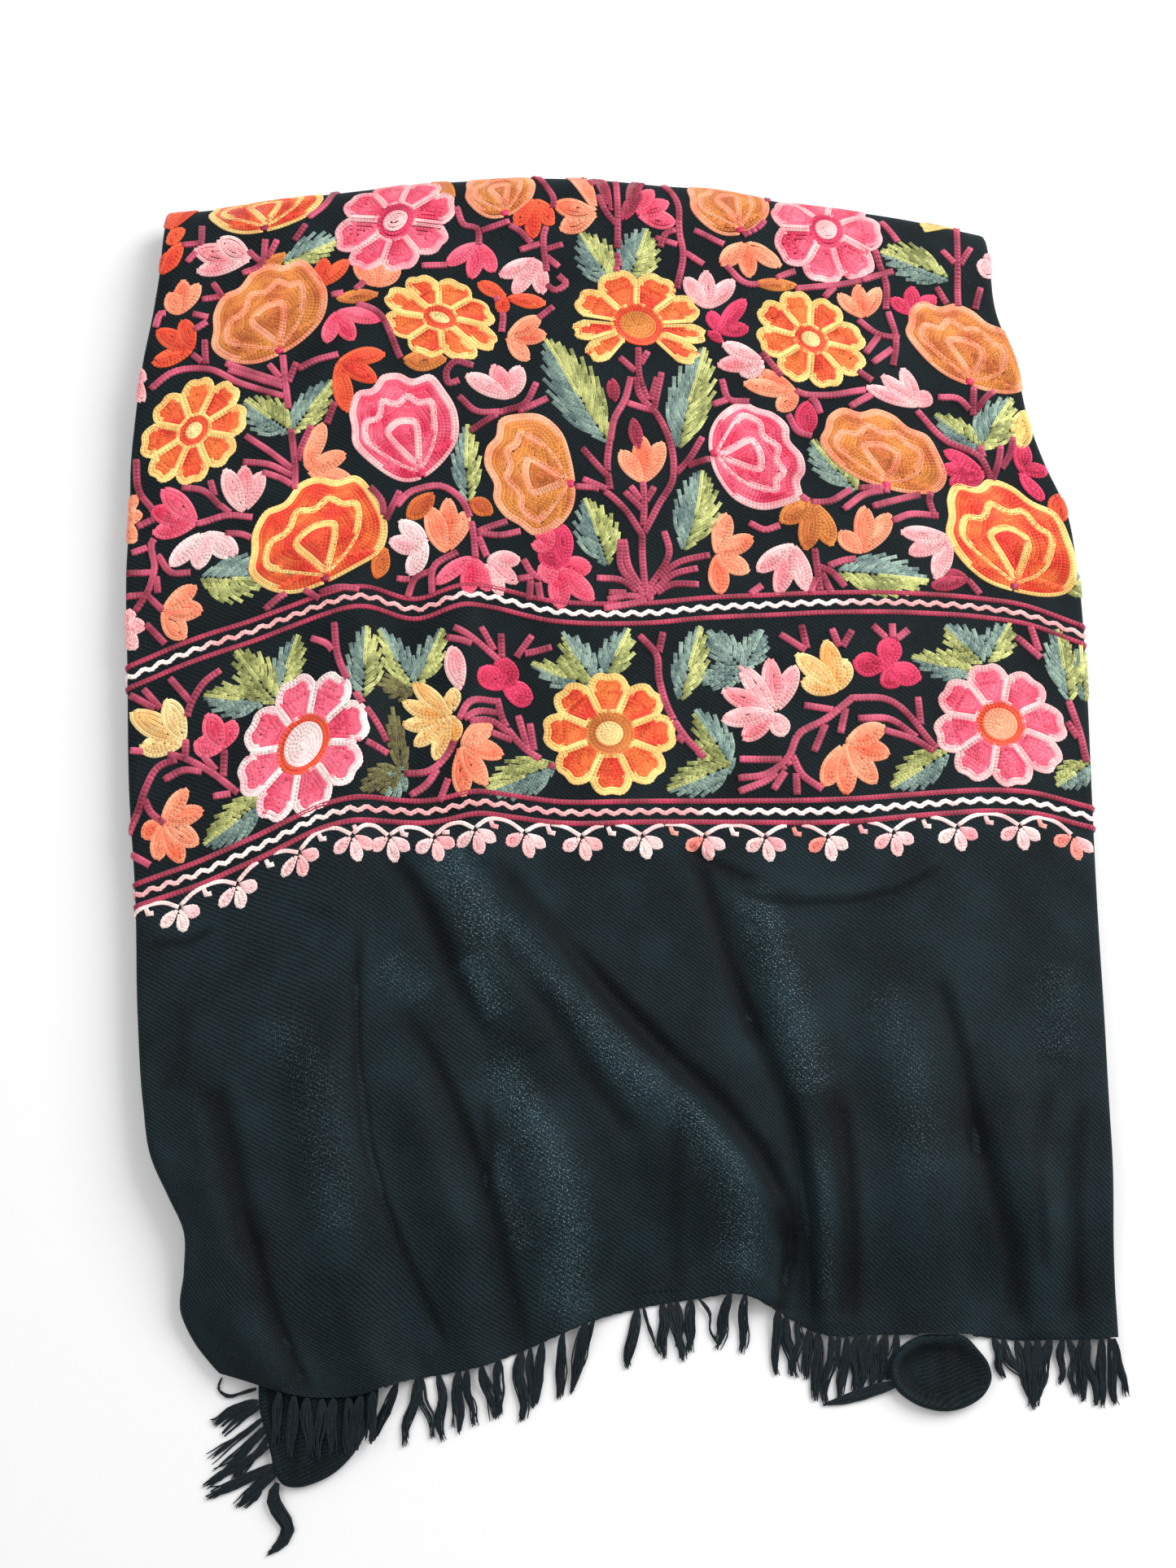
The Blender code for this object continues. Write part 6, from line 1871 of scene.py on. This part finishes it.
CORNER_LOCKS = [
    # half width of the belly, yarns, how far they spray, and plan points of the lock, in millimetres
    (0.8, 6, 0.6, [(-159, -298.5), (-166.6, -300.5), (-172, -302), (-177.6, -298.6), (-176.4, -293)]),
    (2, 16, 1.6, [(-157.8, -304.2), (-164.7, -306.4), (-172.3, -309.8), (-179.8, -314.9)]),
    (1.6, 12, 1.4, [(-156.9, -306.4), (-163.4, -309.8), (-169, -313.8), (-174.9, -319.3)]),
    (1.3, 10, 2.0, [(-154.3, -311.6), (-162.6, -317.5), (-171.6, -323.7), (-180.4, -331)]),
    (2.4, 20, 1.8, [(-152.6, -315.3), (-160, -322.6), (-168.1, -331.1), (-176.9, -338.5)]),
    (1.8, 14, 2.0, [(-151.6, -319.7), (-157.4, -327.4), (-163.3, -333.6), (-169.5, -340.9)]),
    (2, 14, 1.4, [(-152.1, -324.8), (-163.4, -332.2), (-174, -337.2), (-182.9, -342.3)]),
    (2.4, 20, 1.6, [(-147.9, -332.9), (-158.5, -337.2), (-168.7, -341.6), (-181.9, -347.4)]),
    (2.6, 20, 1.2, [(-147, -335.1), (-154.5, -340.9), (-160.4, -346.7), (-166.2, -352.4)]),
    (1.2, 8, 2.0, [(-147.7, -336.5), (-154.5, -340.9), (-158, -346.7), (-162.5, -349.5)]),
    (3.4, 30, 0.4, [(-146.8, -340.9), (-148.8, -347.4), (-145.7, -354.6), (-141.3, -360.3), (-144, -367.5),
        (-151.2, -372.8)]),
]


def lock_yarns(path, start_z, belly, yarns, dice, spray=1.0, ground=0.0):
    """The yarns of one lock: lines of points and radii, round a path in plan."""
    path = np.asarray(path, float)
    knots = distances(path)
    made = []
    for k in range(yarns):
        angle = dice.uniform(0, 2 * math.pi)
        reach = math.sqrt((k + 0.5) / yarns)
        twist = dice.uniform(0.2, 0.8)
        share = np.linspace(0.0, dice.uniform(0.86, 1.0), 9)
        spine = read_line(knots, path, share * knots[-1])
        run = np.gradient(spine, axis=0)
        beside = unit(np.stack([-run[:, 1], run[:, 0]], axis=1))
        swell = belly * (0.26 * (1 - share) + 0.9 * np.sin(math.pi * share**0.85)) * reach
        swell = swell + spray * 0.0012 * share**2 * dice.normal() * np.sign(math.cos(angle))
        turn = angle + twist * share * 2.2
        wiggle = 0.00022 * np.sin(share * dice.uniform(9, 16) + angle)
        place = spine + beside * (swell * np.cos(turn) + wiggle)[:, None]
        pile = np.abs(np.sin(turn)) * belly * 0.55 * reach * np.sin(math.pi * np.clip(share, 0.0, 1.0))
        low = TIP_Z + 0.0002 + ground + pile
        z = low + np.maximum(start_z - low, 0.0) * (1.0 - ease(share / 0.6))
        radius = YARN_RADIUS * (1.0 - 0.55 * ease((share - 0.75) / 0.25))
        made.append((np.column_stack([place, z]), radius))
    return made


def hem_locks(x_from, x_to, dice, ground=0.0):
    """The locks of one stretch of the hem, and the height of what they lie on."""
    across = np.linspace(0.0, 1.0, 200)
    edge = front_face(across, np.zeros(200))
    made = []
    for x, length, lean, belly, yarns in HEM_LOCKS:
        if not x_from <= x < x_to:
            continue
        y, z = (np.interp(x / 1000, edge[:, 0], edge[:, k]) for k in (1, 2))
        way = np.array([math.sin(lean), -math.cos(lean)])
        bend = np.array([-way[1], way[0]]) * dice.normal(0.0, 0.001)
        root = np.array([x / 1000, y - HEM_GAP])
        third, two_thirds = root + way * length * 0.00035 + bend, root + way * length * 0.0007 - bend
        path = [root, third, two_thirds, root + way * length / 1000]
        made += lock_yarns(path, max(z - WALL / 2, 0.0012), belly / 1000, yarns, dice, 1.0, ground)
    return made


def yarn_plan(lines):
    """A mesh of bare edges with a thickness at each point."""
    points = np.concatenate([line for line, _ in lines]) - ORIGIN
    thick = np.concatenate([radius for _, radius in lines])
    edges, first = [], 0
    for line, _ in lines:
        edges += [(k, k + 1) for k in range(first, first + len(line) - 1)]
        first += len(line)
    mesh = new_mesh("yarn plan", points, edges)
    set_attribute(mesh, "thick", "FLOAT", thick)
    return mesh


def hem_cord(start, end):
    """The whipped edge that the locks hang from, as a line with small knots."""
    across = np.linspace(start, end, int((end - start) * 260))
    hem = np.zeros(len(across))
    before, edge, after = (front_face(across + step, hem) for step in (-0.004, 0.0, 0.004))
    run = after[:, :2] - before[:, :2]
    outward = np.stack([run[:, 1], -run[:, 0]], axis=1) / np.hypot(*run.T)[:, None]
    z = np.maximum(edge[:, 2] - WALL / 2, 0.001)
    radius = 0.0005 + 0.00022 * np.sin(np.arange(len(across)) * 1.9)
    return np.column_stack([edge[:, :2] + outward * HEM_GAP * 0.5, z]), radius


fringe_pieces = []
for name, (x_from, x_to, start, end) in HEM_PARTS.items():
    plan = hem_locks(x_from, x_to, np.random.default_rng(20 + x_to)) + [hem_cord(start, end)]
    fringe_pieces.append(grown(name + "_yarn", yarn_plan(plan), spinning, Sides=5))
    print(name, len(plan), "yarns")

# %% Plan the locks at the corners
CORNER_ROOT_Z = 0.003  # how high the locks leave the lower layer
LOBE_TOP = 0.005  # how high the locks lie that cross the fold of the lower layer
CUP_LOCK = [(0.1492, -0.296), (0.1417, -0.2978), (0.1318, -0.3008), (0.1219, -0.3036), (0.1121, -0.3062)]

dice = np.random.default_rng(31)
corner_plan = hem_locks(-150, -100, dice, ground=LOBE_TOP)
for belly, yarns, spray, path in CORNER_LOCKS:
    corner_plan += lock_yarns(np.array(path) / 1000, CORNER_ROOT_Z, belly / 1000, yarns, dice, spray)
corner_fringe = grown("corner_fringe_yarn", yarn_plan(corner_plan), spinning, Sides=4)
cup_plan = lock_yarns(CUP_LOCK, CORNER_ROOT_Z, 0.0026, 26, dice, 0.3)
cup_lock = grown("rolled_corner_yarn", yarn_plan(cup_plan), spinning, Sides=4)
print("corner locks:", len(corner_plan), "yarns, and", len(cup_plan), "at the rolled corner")

# %% Hand the pieces to the frame
def hand_over(piece, slot, *nodes):
    """Gives a piece to the body in place of the solids it stands for, and prints the slot named for it."""
    print("hand over", piece.name, "as", slot)
    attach(piece, "root")
    if nodes:
        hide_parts(*nodes)


hand_over(front_cloth, "embroidered_cloth", "front_panel")
for piece in embroidery:
    hand_over(piece, "embroidered_cloth")
hand_over(folded_layers, "plain_cloth", "folded_layers")
hand_over(folded_end, "plain_cloth")
hand_over(corner_lobe, "plain_cloth", "corner_lobe")
hand_over(rolled_corner, "plain_cloth", "rolled_corner")
for piece, name in zip(fringe_pieces, HEM_PARTS):
    hand_over(piece, "fringe_yarn", name)
hand_over(corner_fringe, "fringe_yarn", "corner_fringe")
hand_over(cup_lock, "fringe_yarn")
